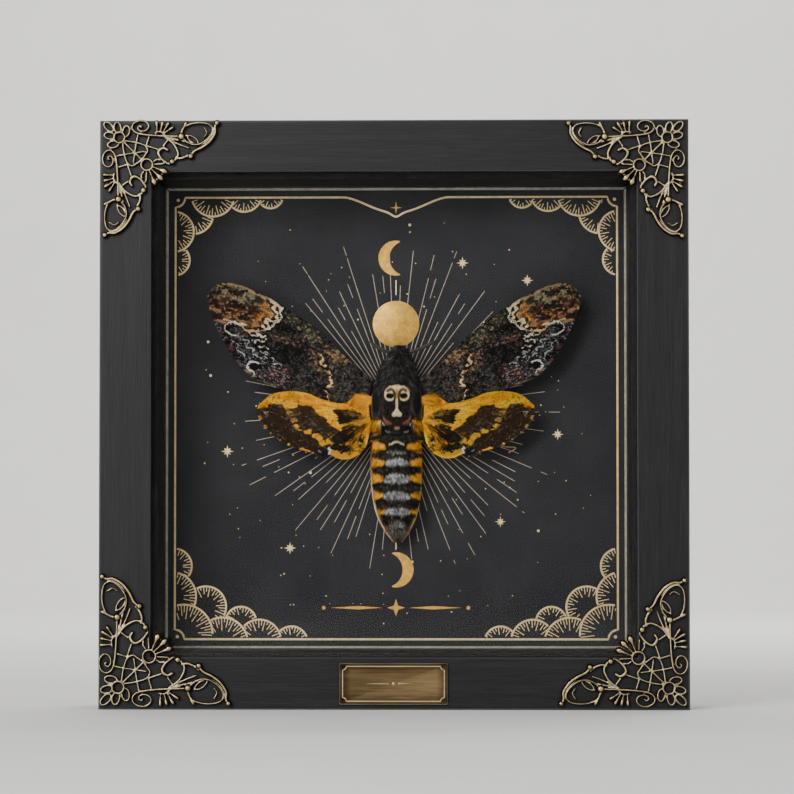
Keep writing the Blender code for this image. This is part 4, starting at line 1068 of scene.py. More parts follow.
def body_tint(points):
    """Linear colours of the body's coat and skin, from each point's place on the back of the moth."""
    flat = points.reshape(-1, 3) - MOTH
    height = flat[:, 2]
    wide, _, middle = section_at(height)
    x = flat[:, 0] - body_bend(height)
    behind = soft_step(flat[:, 1] - middle, 0.4, 1.2)
    front = 1 - behind
    paint = Paint(x, height, "15120F", 0.3, 3, 1.0)
    paint.specks("2E2B27", 0.8, 0.45, 11)
    paint.specks("54554F", 0.45, 0.10 * soft_step(height, 3, 4), 12, 0.8)
    paint.specks("8E9296", 0.5, 0.02 * soft_step(height, 1, 3) * front, 13, 0.8)
    thorax = soft_step(height, -9.8, 0.5) * front
    paint.rgb += thorax[:, None] * (mask_tint(x, height, paint.rgb) - paint.rgb)
    lobe = Paint(np.abs(x), height, "15120F", 0.12, 5, 0.8)
    away = path_distance(lobe.wx, lobe.wz, smooth_path(LOBE_LINE, 4))
    within = inside(lobe.wx, lobe.wz, smooth_path(LOBE_LINE, 4)) * front
    paint.mix(0.85 * within * soft_step(away, 0.35, 0.5), "191B1E")
    rim = 0.12 + 0.55 * (1 - soft_step(height, -2.5, 2.0))
    paint.mix(rim * (1 - soft_step(away, 0.26, 0.24)) * front, "545653")
    edge = wide - np.abs(paint.wx)
    rim = 0.6 * soft_step(height, -6.0, 0.8) * (1 - soft_step(height, 1.2, 1.0))
    paint.mix(rim * (1 - soft_step(edge, 0.42, 0.3)) * front, "D8A050")
    yellow = (1 - soft_step(height, -5.9, 0.8)) * soft_step(height, -11.3, 0.6)
    yellow = yellow * np.clip(1 - soft_step(edge - 0.5 * (height + 7), 2.0, 0.7) + behind, 0, 1)
    paint.mix(yellow, "EB9F1E")
    paint.specks("FFC244", 0.6, 0.22 * yellow, 16)
    paint.specks("3A2710", 0.7, 0.36 * yellow, 7, 0.85)
    abdomen_marks(paint, x, height, edge, behind)
    return paint.rgb.reshape(points.shape)


def mask_tint(x, height, ground):
    """The thorax's mask, nose and dark face, the same on both sides, over the coat's colours."""
    half = Paint(np.abs(x - MASK_SHIFT), height + 0.3, "15120F", 0.10, 9, 0.9)
    half.rgb = ground.copy()
    face = half.near((0.0, -3.0, 4.4, 4.6, 0))
    half.mix(0.8 * face, "0C0A0B")
    half.specks("33241F", 0.7, 0.3 * face, 14)
    half.line("5E3C38", [(4.2, 0.4), (4.3, -1.6), (4.0, -3.4)], 0.4, 0.4, 0.6, 0.8)
    half.line("A87866", [(4.1, -4.3), (3.8, -5.4), (3.4, -6.1)], 0.4, 0.2, 0.8, 0.8)
    half.ovals("9C6248", [(2.9, -6.5, 0.8, 0.6, 20), (2.0, -6.9, 0.5, 0.4, 0)], 0.3, 0.8)
    half.specks("D08A6A", 0.6, 0.35 * half.near((2.6, -6.7, 0.9, 0.5, 0)), 15)
    half.ovals("3A1D18", [(0.0, -6.4, 0.7, 1.1, 0)], 0.4, 0.8)
    half.ovals("C39A88", [(0.0, -8.2, 0.8, 0.45, 0)], 0.3, 0.85)
    half.line("E6E2DA", [(4.75, -6.0), (4.3, -6.6), (3.75, -7.3)], 0.32, 0.12, 0.9)
    half.line("B9B6B0", [(3.4, -8.9), (2.7, -9.25), (2.1, -9.2)], 0.28, 0.12, 0.7)
    half.mix(half.within(MASK, 0.07), "FBE3B4")
    half.line("B08E5A", [(3.6, 2.9), (2.6, 3.5), (1.6, 3.6)], 0.4, 0.4, 0.5)
    half.line("5A3E1E", [(2.7, 2.7), (1.9, 3.1), (1.15, 2.9), (0.8, 2.2), (0.66, 1.3)], 0.95, 0.3, 0.95)
    half.line("2A1A0E", [(0.95, 2.9), (0.66, 2.2), (0.55, 1.2), (0.7, 0.5)], 0.3, 0.2, 0.85)
    half.ovals("050404", [(2.05, 1.2, 1.2, 0.88, 4)], 0.08)
    half.line("EFD49A", [(0, 4.3), (0, 2.6)], 0.5, 0.15)
    half.line("B98542", [(0, 2.9), (0, 1.0), (0, 0.0)], 0.6, 0.15)
    half.line("EBD3A0", [(0, 0.2), (0, -1.4), (0, -2.9)], 0.66, 0.15)
    half.mix(half.within(NOSE, 0.08), "F0DDB2")
    half.ovals("C9A878", [(0.75, -4.4, 0.3, 0.25, 0)], 0.4, 0.6)
    return half.rgb


def abdomen_marks(paint, x, height, edge, behind):
    """Black segments with a combed grey band down the back and a yellow spot at each side."""
    front = 1 - behind
    below = 1 - soft_step(height, -10.6, 0.5)
    paint.mix(below, "17130E")
    paint.specks("3A3428", 0.7, 0.30 * below, 17)
    paint.specks("6B6350", 0.55, 0.05 * below, 18)
    comb = 0.9 * (layered_noise(x, height * 0.16, 0.42, 19, 2) - 0.5)
    for middle_height, half_height, reach in ABDOMEN_GREYS:
        tail = middle_height < -37
        x_away = np.abs(paint.wx / reach)
        z_away = np.abs(height + comb - middle_height - 0.35 * np.exp(-((x / 0.7) ** 2))) / half_height
        share = below * front * (1 - soft_step(np.hypot(x_away**1.25, z_away), 1.0, 0.22))
        paint.mix((0.8 if tail else 0.95) * share, "807B70" if tail else "93938F")
        paint.specks("CFCFCA", 0.45, 0.38 * share * (0.3 if tail else 1), 20, 0.9)
        paint.specks("3C3A36", 0.5, 0.22 * share, 21)
    for middle_height, half_height in ABDOMEN_SPOTS:
        reach = np.interp(middle_height, [-33, -14], [2.3, 4.3])
        high = np.abs(height + 0.7 * comb - middle_height) / half_height
        high = high * (0.8 + 1.0 * np.clip(edge / reach, 0, 1.2) ** 2)
        spot = np.maximum((edge - reach) / 0.9 + 1 + 0.8 * comb, high)
        share = below * (1 - soft_step(spot, 1.0, 0.2)) * front
        share = share + below * behind * (1 - soft_step(high, 1.4, 0.4))
        paint.mix(np.clip(share, 0, 1) * (1.0 if middle_height > -30 else 0.8), "EFA41C")
        paint.specks("FFC544", 0.5, 0.22 * share, 22)
        paint.specks("9A6414", 0.5, 0.16 * share, 23)
    paint.ovals("12100D", [(0.0, -13.6, 2.2, 1.3, 0)], 0.2)
    stripe = [(-2.0, -13.3), (-1.1, -12.8), (-0.2, -12.55), (0.8, -12.65), (1.9, -13.2)]
    paint.line("F2E4C6", stripe, 0.36, 0.12, 0.9, 0.4)
    ends = np.min(np.abs(height[:, None] - SEGMENTS[None, 1:] - 0.15), axis=1)
    paint.mix(0.7 * below * (1 - soft_step(ends, 0.4, 0.35)), "0B0907")
    hem = below * (1 - soft_step(height, -26.5, 2.0)) * (1 - soft_step(edge, 0.45, 0.3)) * front
    side = np.where(x < 0, 1 - 0.5 * soft_step(-height, 35, 2), soft_step(-height, 34, 2) * 0.6)
    paint.mix(0.8 * hem * side, "B8905A")
    paint.mix(0.3 * (1 - soft_step(height, -39.6, 1.6)) * front, "54412C")


# Coats of hair: name, slot, lowest and highest place, number of tufts, their length and width, lift, seed
COATS = (
    ("coat_hood", "dark_fur", 3.5, 16.1, 16000, 0.95, 0.17, 0.30, 5),
    ("coat_thorax", "dark_fur", -9.9, 3.9, 30000, 0.85, 0.15, 0.20, 6),
    ("coat_abdomen", "banded_abdomen", -41.3, -9.4, 46000, 0.62, 0.16, 0.16, 7),
)


def build_body(settings):
    """One skin over head, thorax and abdomen, and the hair that lies back along it."""
    rows, cols = 330, 144
    closer_at_ends = 0.5 - 0.5 * np.cos(np.linspace(0.03, math.pi - 0.05, rows))
    s = 0.35 * closer_at_ends + 0.65 * np.linspace(0.004, 0.997, rows)
    s, t = np.meshgrid(s, np.arange(cols) / cols, indexing="ij")
    shape = Shape()
    shape.loft(body_point(s, t))
    chitin = Finish("chitin_skin", 0.8, 3.0, 0.2, (0.66, 0.84), 0.06, Specular_IOR_Level=0.15)
    skin = shape.mesh("body_skin", chitin)
    set_tint(skin, body_tint(shape.points[0]) * 0.8)
    settle(skin, "dark_fur", "head", "thorax", "abdomen")
    hair = Finish("fine_hair", 0.7, 2.4, 0.2, (0.52, 0.7), 0, Specular_IOR_Level=0.1)
    size = settings.hair / MM
    for name, slot, low, high, count, long, wide, lift, seed in COATS:
        count = int(count * TUFT_SHARE)
        settle(body_coat(name, hair, low, high, count, long * size, wide, lift * size, seed), slot)


def body_coat(name, finish, low, high, count, long, wide, lift, seed):
    """Tufts over the skin between two heights, combed back and outwards.

    They are shorter on the mask, and longer and looser on the crown, the tail and the waist's sides.
    """
    rng = np.random.default_rng(seed)
    start, span = (low - LOW_END) / (HIGH_END - LOW_END), (high - low) / (HIGH_END - LOW_END)

    def part(a, b):
        return body_point(start + a * span, b)

    a, b = scatter(part, 160, 120, count, rng)
    root, normal, up, _ = surface_frame(part, a, b)
    height, x = root[:, 2] - MOTH[2], root[:, 0] - MOTH[0]
    sideways = 0.25 * np.clip(x / 8, -1, 1) * np.sign(-normal[:, 1]) + rng.normal(0, 0.22, count)
    along = unit(-up - sideways[:, None] * np.cross(normal, up))
    mask = (normal[:, 1] < -0.3) & (np.abs(x - MASK_SHIFT) < 4.4) & (height > -9.8) & (height < 5)
    crown = height > 8.5
    waist = (np.abs(normal[:, 0]) > 0.5) & (height > -11.5) & (height < -5.6)
    tail = height < -37.5
    size = np.ones(count)
    for where, share in ((mask, 0.55), (crown, 1.15), (waist, 2.8), (tail, 1.1)):
        size[where] *= share
    size = size * rng.uniform(0.7, 1.25, count)
    lift = lift * size * np.where(waist | tail | crown, 2.4, 1.0) * rng.uniform(0.5, 1.5, count)
    made = hair_points(wide * rng.uniform(0.8, 1.2, count), long * size, lift)
    place = (root, normal, along, np.stack([b, start + a * span], -1))
    return coat_mesh(name, finish, made, place, body_tint, rng.uniform(0.72, 1.25, count))


# Wings: outlines for the right side, as (x, height): costa, trailing edge, outer margin, and the
# root's highest and lowest place

FOREWING_EDGES = (
    [(14.7, 12.4), (21.2, 18.6), (29.5, 24.8), (38.6, 30.3), (46.8, 33.5), (52.0, 33.4), (54.8, 30.2)],
    [(12.5, -0.9), (20.0, -0.8), (27.0, 1.1), (35.3, 4.1), (41.4, 6.1)],
    [(54.8, 30.2), (54.0, 26.2), (51.0, 19.2), (46.5, 11.6), (41.4, 6.1)],
    (5.8, -0.8),
)
HINDWING_EDGES = (
    [(12.0, 0.8), (15.8, -1.1), (21.5, 0.0), (26.5, 1.9), (31.5, 2.5), (36.8, 1.6), (40.6, -1.4)],
    [(8.5, -10.5), (9.4, -13.6), (11.5, -16.2)],
    [(40.6, -1.4), (40.8, -4.5), (37.4, -9.5), (31.6, -13.3), (25.2, -15.3), (22.6, -16.8), (19.7, -15.9),
     (16.8, -17.1), (14.0, -17.2), (11.5, -16.2)],
    (0.6, -6.6),
)
# Each wing's edges, side, turn about its root and stretch
WINGS = {
    "forewing_left": (FOREWING_EDGES, -1, 0.004, 1.02),
    "forewing_right": (FOREWING_EDGES, 1, 0.016, 0.99),
    "hindwing_left": (HINDWING_EDGES, -1, 0.0, 0.995),
    "hindwing_right": (HINDWING_EDGES, 1, 0.0, 0.98),
}
# Where the veins run, as shares from costa to trailing edge
VEINS = (np.arange(7) * 2 + 1) / 14
# How much brighter the right wings are painted, as painted light where less light reaches them, and
# how much brighter the hindwings' colours are
RIGHT_PAINTED_LIGHT, HIND_GAIN = 1.28, 1.1


def root_line(edges, v):
    """The wing's root: it follows the thorax's side 0.3 off it."""
    height = edges[3][0] + (edges[3][1] - edges[3][0]) * v
    return np.stack([section_at(height)[0] + 0.3, height], -1)


class Wing:
    """One wing's surface as a function of u, from root to margin, and v, from costa to trailing edge.

    It is the blend of the four edges: the sum of the two ruled surfaces less the one through the
    corners. Then it is stretched, turned about its root and mirrored for its side.
    """

    def __init__(self, name):
        self.name = name
        self.fore = name.startswith("fore")
        self.slot = "mottled_forewing" if self.fore else "yellow_hindwing"
        self.edges, self.sign, self.turn, self.stretch = WINGS[name]
        front, back = [np.vstack([root_line(self.edges, np.array([end])), self.edges[end]]) for end in (0, 1)]
        self.lines = [along_path(k, np.linspace(0, 1, 600)) for k in (front, back, self.edges[2])]

    def edge(self, which, share):
        line = self.lines[which]
        return np.stack([np.interp(share, np.linspace(0, 1, 600), line[:, k]) for k in (0, 1)], -1)

    def flat(self, u, v):
        """Places (x, height) in the pattern's plane."""
        front, back = self.edge(0, u), self.edge(1, u)
        margin, root = self.edge(2, v), root_line(self.edges, v)
        u, v = np.asarray(u)[..., None], np.asarray(v)[..., None]
        corners = (1 - u) * ((1 - v) * self.edge(0, 0.0) + v * self.edge(1, 0.0))
        corners = corners + u * ((1 - v) * self.edge(0, 1.0) + v * self.edge(1, 1.0))
        return (1 - v) * front + v * back + (1 - u) * root + u * margin - corners

    def point(self, u, v, lift=0.0):
        """World places, raised towards the front by a lift. The membrane is pleated between veins."""
        flat = self.flat(u, v)
        if self.fore:
            depth = 22.1 - 1.1 * np.sin(u * math.pi * 0.62) + 0.5 * (v - 0.3) ** 2 - 0.35 * u
        else:
            depth = 20.4 - 0.25 * np.sin(u * math.pi * 0.8) + 0.9 * u * (v - 0.25) ** 2
        depth = depth + 0.10 * np.cos(v * 14 * math.pi) * np.clip(u * 4, 0, 1)
        root = self.edge(0, 0.0)
        out, up = flat[..., 0] - root[0], flat[..., 1] - root[1]
        ease = np.clip(u * 3, 0, 1)
        grown = 1 + (self.stretch - 1) * ease
        x = root[0] + out * grown - up * self.turn * ease
        z = root[1] + up * grown + out * self.turn * ease
        return MOTH + np.stack([self.sign * x, depth - lift, z], -1)

    def tint(self, u, v):
        """Linear colours of the markings at these places; the right pair is painted brighter, as painted
        light.
        """
        marks = forewing_tint if self.fore else hindwing_tint
        # Painted light: the right pair is brightened where less light falls on it.
        right, hind = (1.0 if self.sign < 0 else RIGHT_PAINTED_LIGHT), (1.0 if self.fore else HIND_GAIN)
        return marks(*self.flat(u, v).T) * right * hind

    def vein(self, u, v):
        """How far a vein raises the membrane: a low round ridge, finer towards the margin."""
        width = np.linalg.norm(self.edge(0, u) - self.edge(1, u), axis=-1)
        away = np.min(np.abs(np.asarray(v)[..., None] - VEINS), axis=-1) * width
        return (0.16 - 0.09 * u) * np.exp(-((away / (0.26 - 0.1 * u)) ** 2))


# Markings of the wings, as (x, height) for the right side. Ovals are (x, height, half sizes, turn).

FORE_CREAM = [(36.9, 29.3), (36.6, 28.6), (35.5, 27.4), (35.9, 25.9), (34.8, 25.2), (34.9, 23.3),
              (36.2, 22.7), (37.5, 23.3), (38.1, 22.9), (37.2, 21.8), (37.7, 20.9), (39.2, 20.3),
              (41.8, 19.9), (44.0, 20.3), (44.8, 21.4), (46.6, 22.2), (50.3, 23.3)]
FORE_WHITE = [(33.0, 27.1), (33.8, 25.2), (33.6, 23.3), (34.8, 22.6), (36.0, 21.9), (36.3, 20.9),
              (37.7, 20.6), (38.8, 21.4)]
FORE_BARS = [
    [(42.6, 19.3), (41.5, 20.0), (40.6, 19.4), (39.4, 20.1), (38.2, 19.7)],
    [(41.9, 18.6), (40.8, 18.1), (40.0, 18.9), (38.9, 18.2), (38.0, 18.5)],
    [(41.0, 16.6), (40.1, 17.4), (39.2, 16.8), (37.8, 17.2)],
    [(40.2, 15.6), (39.3, 15.1), (38.4, 15.8), (37.3, 14.9)],
]
FORE_SCALLOPS = [
    [(40.9, 15.6), (38.6, 15.4), (39.4, 13.9), (37.2, 13.6), (37.9, 12.2), (35.6, 11.9), (36.0, 10.6),
     (33.8, 10.2), (33.6, 8.9)],
    [(44.6, 17.6), (42.6, 16.8), (43.6, 15.2), (41.2, 14.6), (41.8, 13.2), (39.6, 12.4), (38.9, 11.0),
     (37.0, 10.2)],
    [(47.6, 16.9), (45.8, 15.9), (46.2, 14.2), (44.4, 13.4), (43.9, 11.8), (45.0, 10.9)],
    [(41.6, 18.9), (40.4, 18.1), (41.7, 17.0), (40.6, 16.4)],
]
FORE_BASAL = [
    [(22.9, 13.5), (21.9, 12.9), (21.6, 11.7), (22.2, 10.7), (21.3, 9.9), (20.4, 10.3)],
    [(20.9, 8.9), (19.8, 8.3), (19.0, 7.2), (19.5, 6.2), (18.7, 5.3), (18.9, 4.2), (19.8, 3.9)],
    [(20.6, 2.6), (20.0, 1.7), (20.3, 0.7), (19.7, -0.4)],
]
FORE_APEX = [*FORE_CREAM, (53.6, 23.6), (57.0, 30.0), (53.0, 36.0), (38.0, 34.0)]
FORE_OUTER = [(33.6, 23.3), (36.2, 21.8), (38.5, 19.5), (38.5, 16.0), (37.4, 13.8), (35.0, 11.4),
              (32.8, 9.6), (30.5, 6.5), (33.0, 0.0), (46.0, 3.0), (60.0, 20.0), (58.0, 25.0), (46.6, 22.2),
              (44.0, 20.3)]
FORE_ORANGE = [(37.3, 25.6, 1.5, 2.4, 0), (39.3, 23.6, 1.8, 1.5, 0), (41.8, 21.9, 2.6, 1.2, 8),
               (36.3, 27.6, 0.9, 1.0, 0)]
FORE_RUST = [(51.8, 27.8, 2.2, 2.0, 0), (49.6, 25.2, 2.2, 1.4, 20), (44.6, 24.6, 2.2, 1.3, 0),
             (40.6, 26.6, 1.2, 1.2, 0)]
FORE_OLIVE = [(51.0, 31.3, 2.8, 1.6, 0), (45.8, 32.2, 1.6, 0.8, 10), (42.4, 30.3, 2.2, 1.3, 20),
              (44.6, 28.4, 1.6, 1.0, 0)]
FORE_PINK = [(35.0, 17.9, 1.9, 0.8, 15), (32.2, 17.2, 2.0, 0.8, 10), (28.6, 16.2, 1.5, 0.8, 20),
             (23.9, 12.4, 1.6, 1.9, 0)]


def forewing_tint(x, z):
    """The forewing: brown-black marbled with grey, ochre and pink, and its cream zigzag lines."""
    paint = Paint(x, z, "0D0B0A", 0.42, 21)
    base = 1 - soft_step(x + 0.12 * (z - 6), 20.3, 1.6)
    outer = paint.within(FORE_OUTER, 0.6)
    apex = paint.within(FORE_APEX, 0.12)
    middle = np.clip(1 - base - outer - apex, 0, 1)
    dark = paint.near((30.5, 12.8, 5.0, 2.6, 20), (33.0, 21.2, 2.6, 1.6, 20), (27.0, 15.2, 2.2, 1.6, 0))
    paint.specks("1D1814", 1.4, 0.40 * (1 - dark), 23)
    paint.specks("332F2B", 0.95, 0.34 * base + 0.14 * middle * (1 - dark) + 0.12 * outer, 24)
    paint.specks("080707", 0.9, 0.24 * base + 0.1, 25, 0.7)
    paint.specks("3F3124", 0.9, 0.16 * base + 0.09 * middle * (1 - dark), 26, 0.8)
    low = paint.near((25.8, 7.0, 3.6, 3.2, 0), (13.0, 6.0, 4.0, 4.0, 0))
    paint.specks("565553", 0.6, 0.13 * low + 0.05 * base + 0.03 * middle, 27, 0.85)
    paint.specks("706C62", 0.42, 0.08 * base + 0.04 * middle, 48, 0.85)
    paint.specks("76504E", 0.42, 0.03 * base + 0.015 * middle, 49, 0.8)
    cloud = paint.near((25.2, 19.4, 3.4, 2.2, 40), (29.8, 22.8, 2.6, 1.4, 35))
    paint.specks("3E3A2A", 0.9, 0.42 * cloud, 28)
    paint.specks("8A8262", 0.5, 0.22 * cloud, 29)
    pink = paint.near(*FORE_PINK)
    paint.specks("5A4034", 0.8, 0.40 * pink, 30)
    paint.specks("9C7E6A", 0.5, 0.16 * pink, 31)
    ochre = paint.near((16.9, 12.1, 2.4, 1.4, 35), (19.6, 13.9, 1.6, 1.0, 45), (22.2, 10.9, 1.8, 2.6, 0))
    paint.specks("5E462F", 1.0, 0.55 * ochre, 32)
    paint.specks("A0805A", 0.65, 0.24 * ochre, 33)
    paint.specks("4A462E", 1.0, 0.5 * paint.near((17.2, 0.6, 2.4, 2.0, 0), (27.5, 2.4, 5.0, 0.8, 12)), 34)
    paint.mix(0.55 * dark * layered_noise(x, z, 2.2, 83, 2), "090807")
    zigzag = 1.1 * (layered_noise(x, z, 0.55, 84, 2) - 0.5)
    paint.wx, paint.wz = paint.wx + zigzag, paint.wz + 0.6 * zigzag
    for knots in FORE_BASAL:
        paint.line("0A0807", knots, 1.8, 0.5, 0.75)
        paint.line("8E6440", knots, 0.8, 0.25, 0.7, 0.7)
        paint.line("EBCF9C", knots, 0.42, 0.12, 0.95, 0.8)
    paint.mix(0.75 * outer, "0B090A")
    paint.specks("5C282C", 0.8, 0.16 * outer, 35, 0.8)
    paint.specks("44464A", 0.75, 0.22 * outer, 36)
    paint.specks("85868A", 0.5, 0.09 * outer, 37, 0.85)
    paint.specks("E9E6DC", 0.4, 0.02 * outer, 38, 0.95)
    red = paint.near((34.4, 6.8, 2.4, 2.0, 25), (32.4, 8.6, 1.3, 1.0, 0))
    paint.specks("5E2B28", 0.8, 0.42 * red, 39)
    paint.specks("C9A88A", 0.45, 0.07 * red, 40, 0.95)
    for knots in FORE_SCALLOPS:
        paint.line("0A0808", knots, 1.0, 0.3, 0.8)
        paint.line("C4C2BC", knots, 0.28, 0.12, 0.85, 0.9)
    for knots in FORE_BARS:
        paint.line("050405", knots, 1.4, 0.25, 0.95)
        paint.line("EFE2C6", knots, 0.45, 0.10, 0.95, 0.75)
    paint.mix(apex, "32221A")
    orange, rust, olive = paint.near(*FORE_ORANGE), paint.near(*FORE_RUST), paint.near(*FORE_OLIVE)
    for hue, where in (("9C6630", orange), ("5C3022", rust), ("6A6146", olive)):
        paint.mix(0.75 * apex * where, hue)
    paint.specks("5E2F1D", 1.6, apex * (0.16 + 0.25 * rust + 0.10 * orange), 41, 0.8)
    paint.specks("CC8A3A", 1.2, apex * (0.02 + 0.36 * orange + 0.04 * rust), 42, 0.8)
    paint.specks("857A5C", 1.2, apex * (0.10 + 0.38 * olive), 43, 0.8)
    paint.specks("C8A67C", 0.7, apex * (0.07 + 0.12 * orange + 0.08 * rust), 44, 0.8)
    paint.specks("140E0B", 1.5, apex * (0.28 - 0.20 * orange), 45, 0.85)
    dusky = [(46.2, 27.4, 1.6, 1.4, 0), (40.2, 28.9, 1.7, 0.9, 20), (47.2, 31.3, 1.8, 1.1, 0)]
    paint.ovals("1C1411", dusky, 0.3, 0.85)
    paint.specks("9C9276", 0.6, 0.25 * apex * olive, 46, 0.9)
    paint.ovals("C49064", [(52.4, 25.9, 1.4, 0.4, 15), (51.3, 22.7, 1.7, 0.45, 15)], 0.3, 0.85)
    paint.line("070605", FORE_WHITE, 1.7, 0.3, 0.95)
    paint.line("D8A468", [(a + 1.5, b + 0.5) for a, b in FORE_CREAM[1:12]], 0.35, 0.12, 0.85, 0.6)
    paint.line("070605", [(a + 0.8, b + 0.3) for a, b in FORE_CREAM[1:14]], 0.75, 0.15, 0.95, 0.2)
    paint.line("E8BE84", FORE_CREAM[8:], 0.5, 0.12, 0.95, 0.5)
    paint.line("F2D9AA", FORE_CREAM[:10], 0.55, 0.12, 0.95, 0.5)
    paint.line("F6E8CA", FORE_WHITE, 0.45, 0.12, 0.95, 0.6)
    paint.ovals("EBD3A6", [(35.0, 27.6, 1.4, 0.35, 38), (33.8, 26.3, 0.35, 0.8, 0)], 0.2)
    paint.line("C2A478", [(36.0, 28.4), (40.0, 30.4), (45.0, 32.7), (50.0, 33.4)], 0.45, 0.2, 0.6, 0.5)
    paint.ovals("2A2B2E", [(47.0, 20.3, 2.1, 1.2, 10)], 0.2, 0.95)
    paint.specks("77787A", 0.5, 0.3 * paint.near((46.6, 20.0, 1.3, 0.6, 0)), 47)
    paint.line("060505", [(46.4, 21.4), (48.4, 21.3), (49.0, 20.5), (47.8, 19.4)], 0.8, 0.2)
    loop = [(44.0, 21.6), (46.6, 22.4), (48.6, 22.2), (49.8, 21.2), (49.4, 19.9), (47.9, 18.8), (46.2, 18.4)]
    paint.line("F2E8D4", loop, 0.42, 0.12, 0.95, 0.4)
    paint.ovals("0D0B0B", [(41.4, 9.5, 1.3, 1.1, 0)], 0.2)
    hook = [(40.2, 10.6), (41.4, 11.2), (42.8, 10.5), (43.0, 9.2), (41.8, 8.3), (41.1, 7.2)]
    paint.line("F4EEE2", hook, 0.42, 0.12, 0.95, 0.5)
    paint.ovals("BD914E", [(42.9, 8.0, 0.6, 0.5, 0), (40.9, 6.9, 0.6, 0.35, 0)], 0.25, 0.85)
    paint.ovals("7C3C38", [(47.8, 15.0, 0.7, 0.45, 0), (45.8, 11.2, 0.6, 0.35, 0)], 0.3, 0.8)
    paint.line("6A6340", [(35.0, 3.9), (38.5, 4.9), (41.6, 6.0)], 0.6, 0.3, 0.7)
    return paint.rgb


HIND_DARK = [
    [(42.5, -2.4), (41.0, -2.0), (38.2, -1.5), (36.5, -1.1), (33.9, -1.3), (33.3, -2.3), (32.5, -3.0),
     (31.2, -2.6), (29.7, -2.3), (28.5, -1.7), (27.6, -2.1), (26.2, -2.0), (24.7, -2.5), (23.6, -3.6),
     (23.2, -4.4), (21.7, -4.8), (20.3, -5.9), (19.8, -7.0), (18.8, -8.0), (17.5, -8.8), (17.1, -9.7),
     (18.8, -10.6), (20.5, -11.0), (21.0, -13.2), (20.4, -14.2), (20.4, -18.5), (28.0, -17.5),
     (36.0, -13.5), (42.5, -7.0)],
    [(18.4, -3.3), (17.2, -2.9), (15.2, -3.0), (13.0, -2.6), (11.2, -3.6), (9.6, -4.4), (10.6, -5.2),
     (12.4, -6.1), (13.8, -7.0), (15.4, -7.5), (16.8, -7.2), (17.1, -5.9), (17.8, -4.8)],
    [(16.2, -8.1), (14.6, -7.6), (12.8, -7.1), (10.8, -7.3), (11.6, -9.3), (12.6, -10.7), (14.2, -12.5),
     (15.4, -13.0), (17.4, -13.4), (19.4, -12.0), (18.2, -9.9), (17.0, -9.0)],
    [(13.6, -14.0), (15.8, -13.6), (17.9, -13.6), (18.6, -14.8), (17.0, -15.4), (15.0, -15.6),
     (13.4, -15.2)],
]
HIND_SPOTS = [(29.4, -7.9, 0.75, 0.7, 0), (26.4, -9.3, 1.2, 0.75, 15), (23.5, -10.7, 1.4, 0.85, 10),
              (22.0, -12.6, 1.2, 0.95, 60), (22.8, -11.7, 0.8, 0.6, 0), (35.2, -11.7, 0.65, 0.5, 20),
              (32.2, -13.0, 0.65, 0.45, 20)]
HIND_DULL_SPOTS = [(31.3, -3.9, 0.8, 0.6, 0), (30.7, -5.9, 0.9, 0.75, 0), (40.3, -5.2, 0.6, 0.65, 0),
                   (39.2, -7.6, 0.55, 0.7, 0), (37.6, -9.6, 0.5, 0.5, 0)]
HIND_SPECKLED = [(13.9, -14.6, 3.4, 1.0, -8), (17.8, -13.9, 2.2, 1.2, 0), (19.2, -11.9, 1.0, 1.3, 0),
                 (10.4, -12.6, 0.9, 2.2, 20)]
HIND_ROOT = (6.0, -4.9)


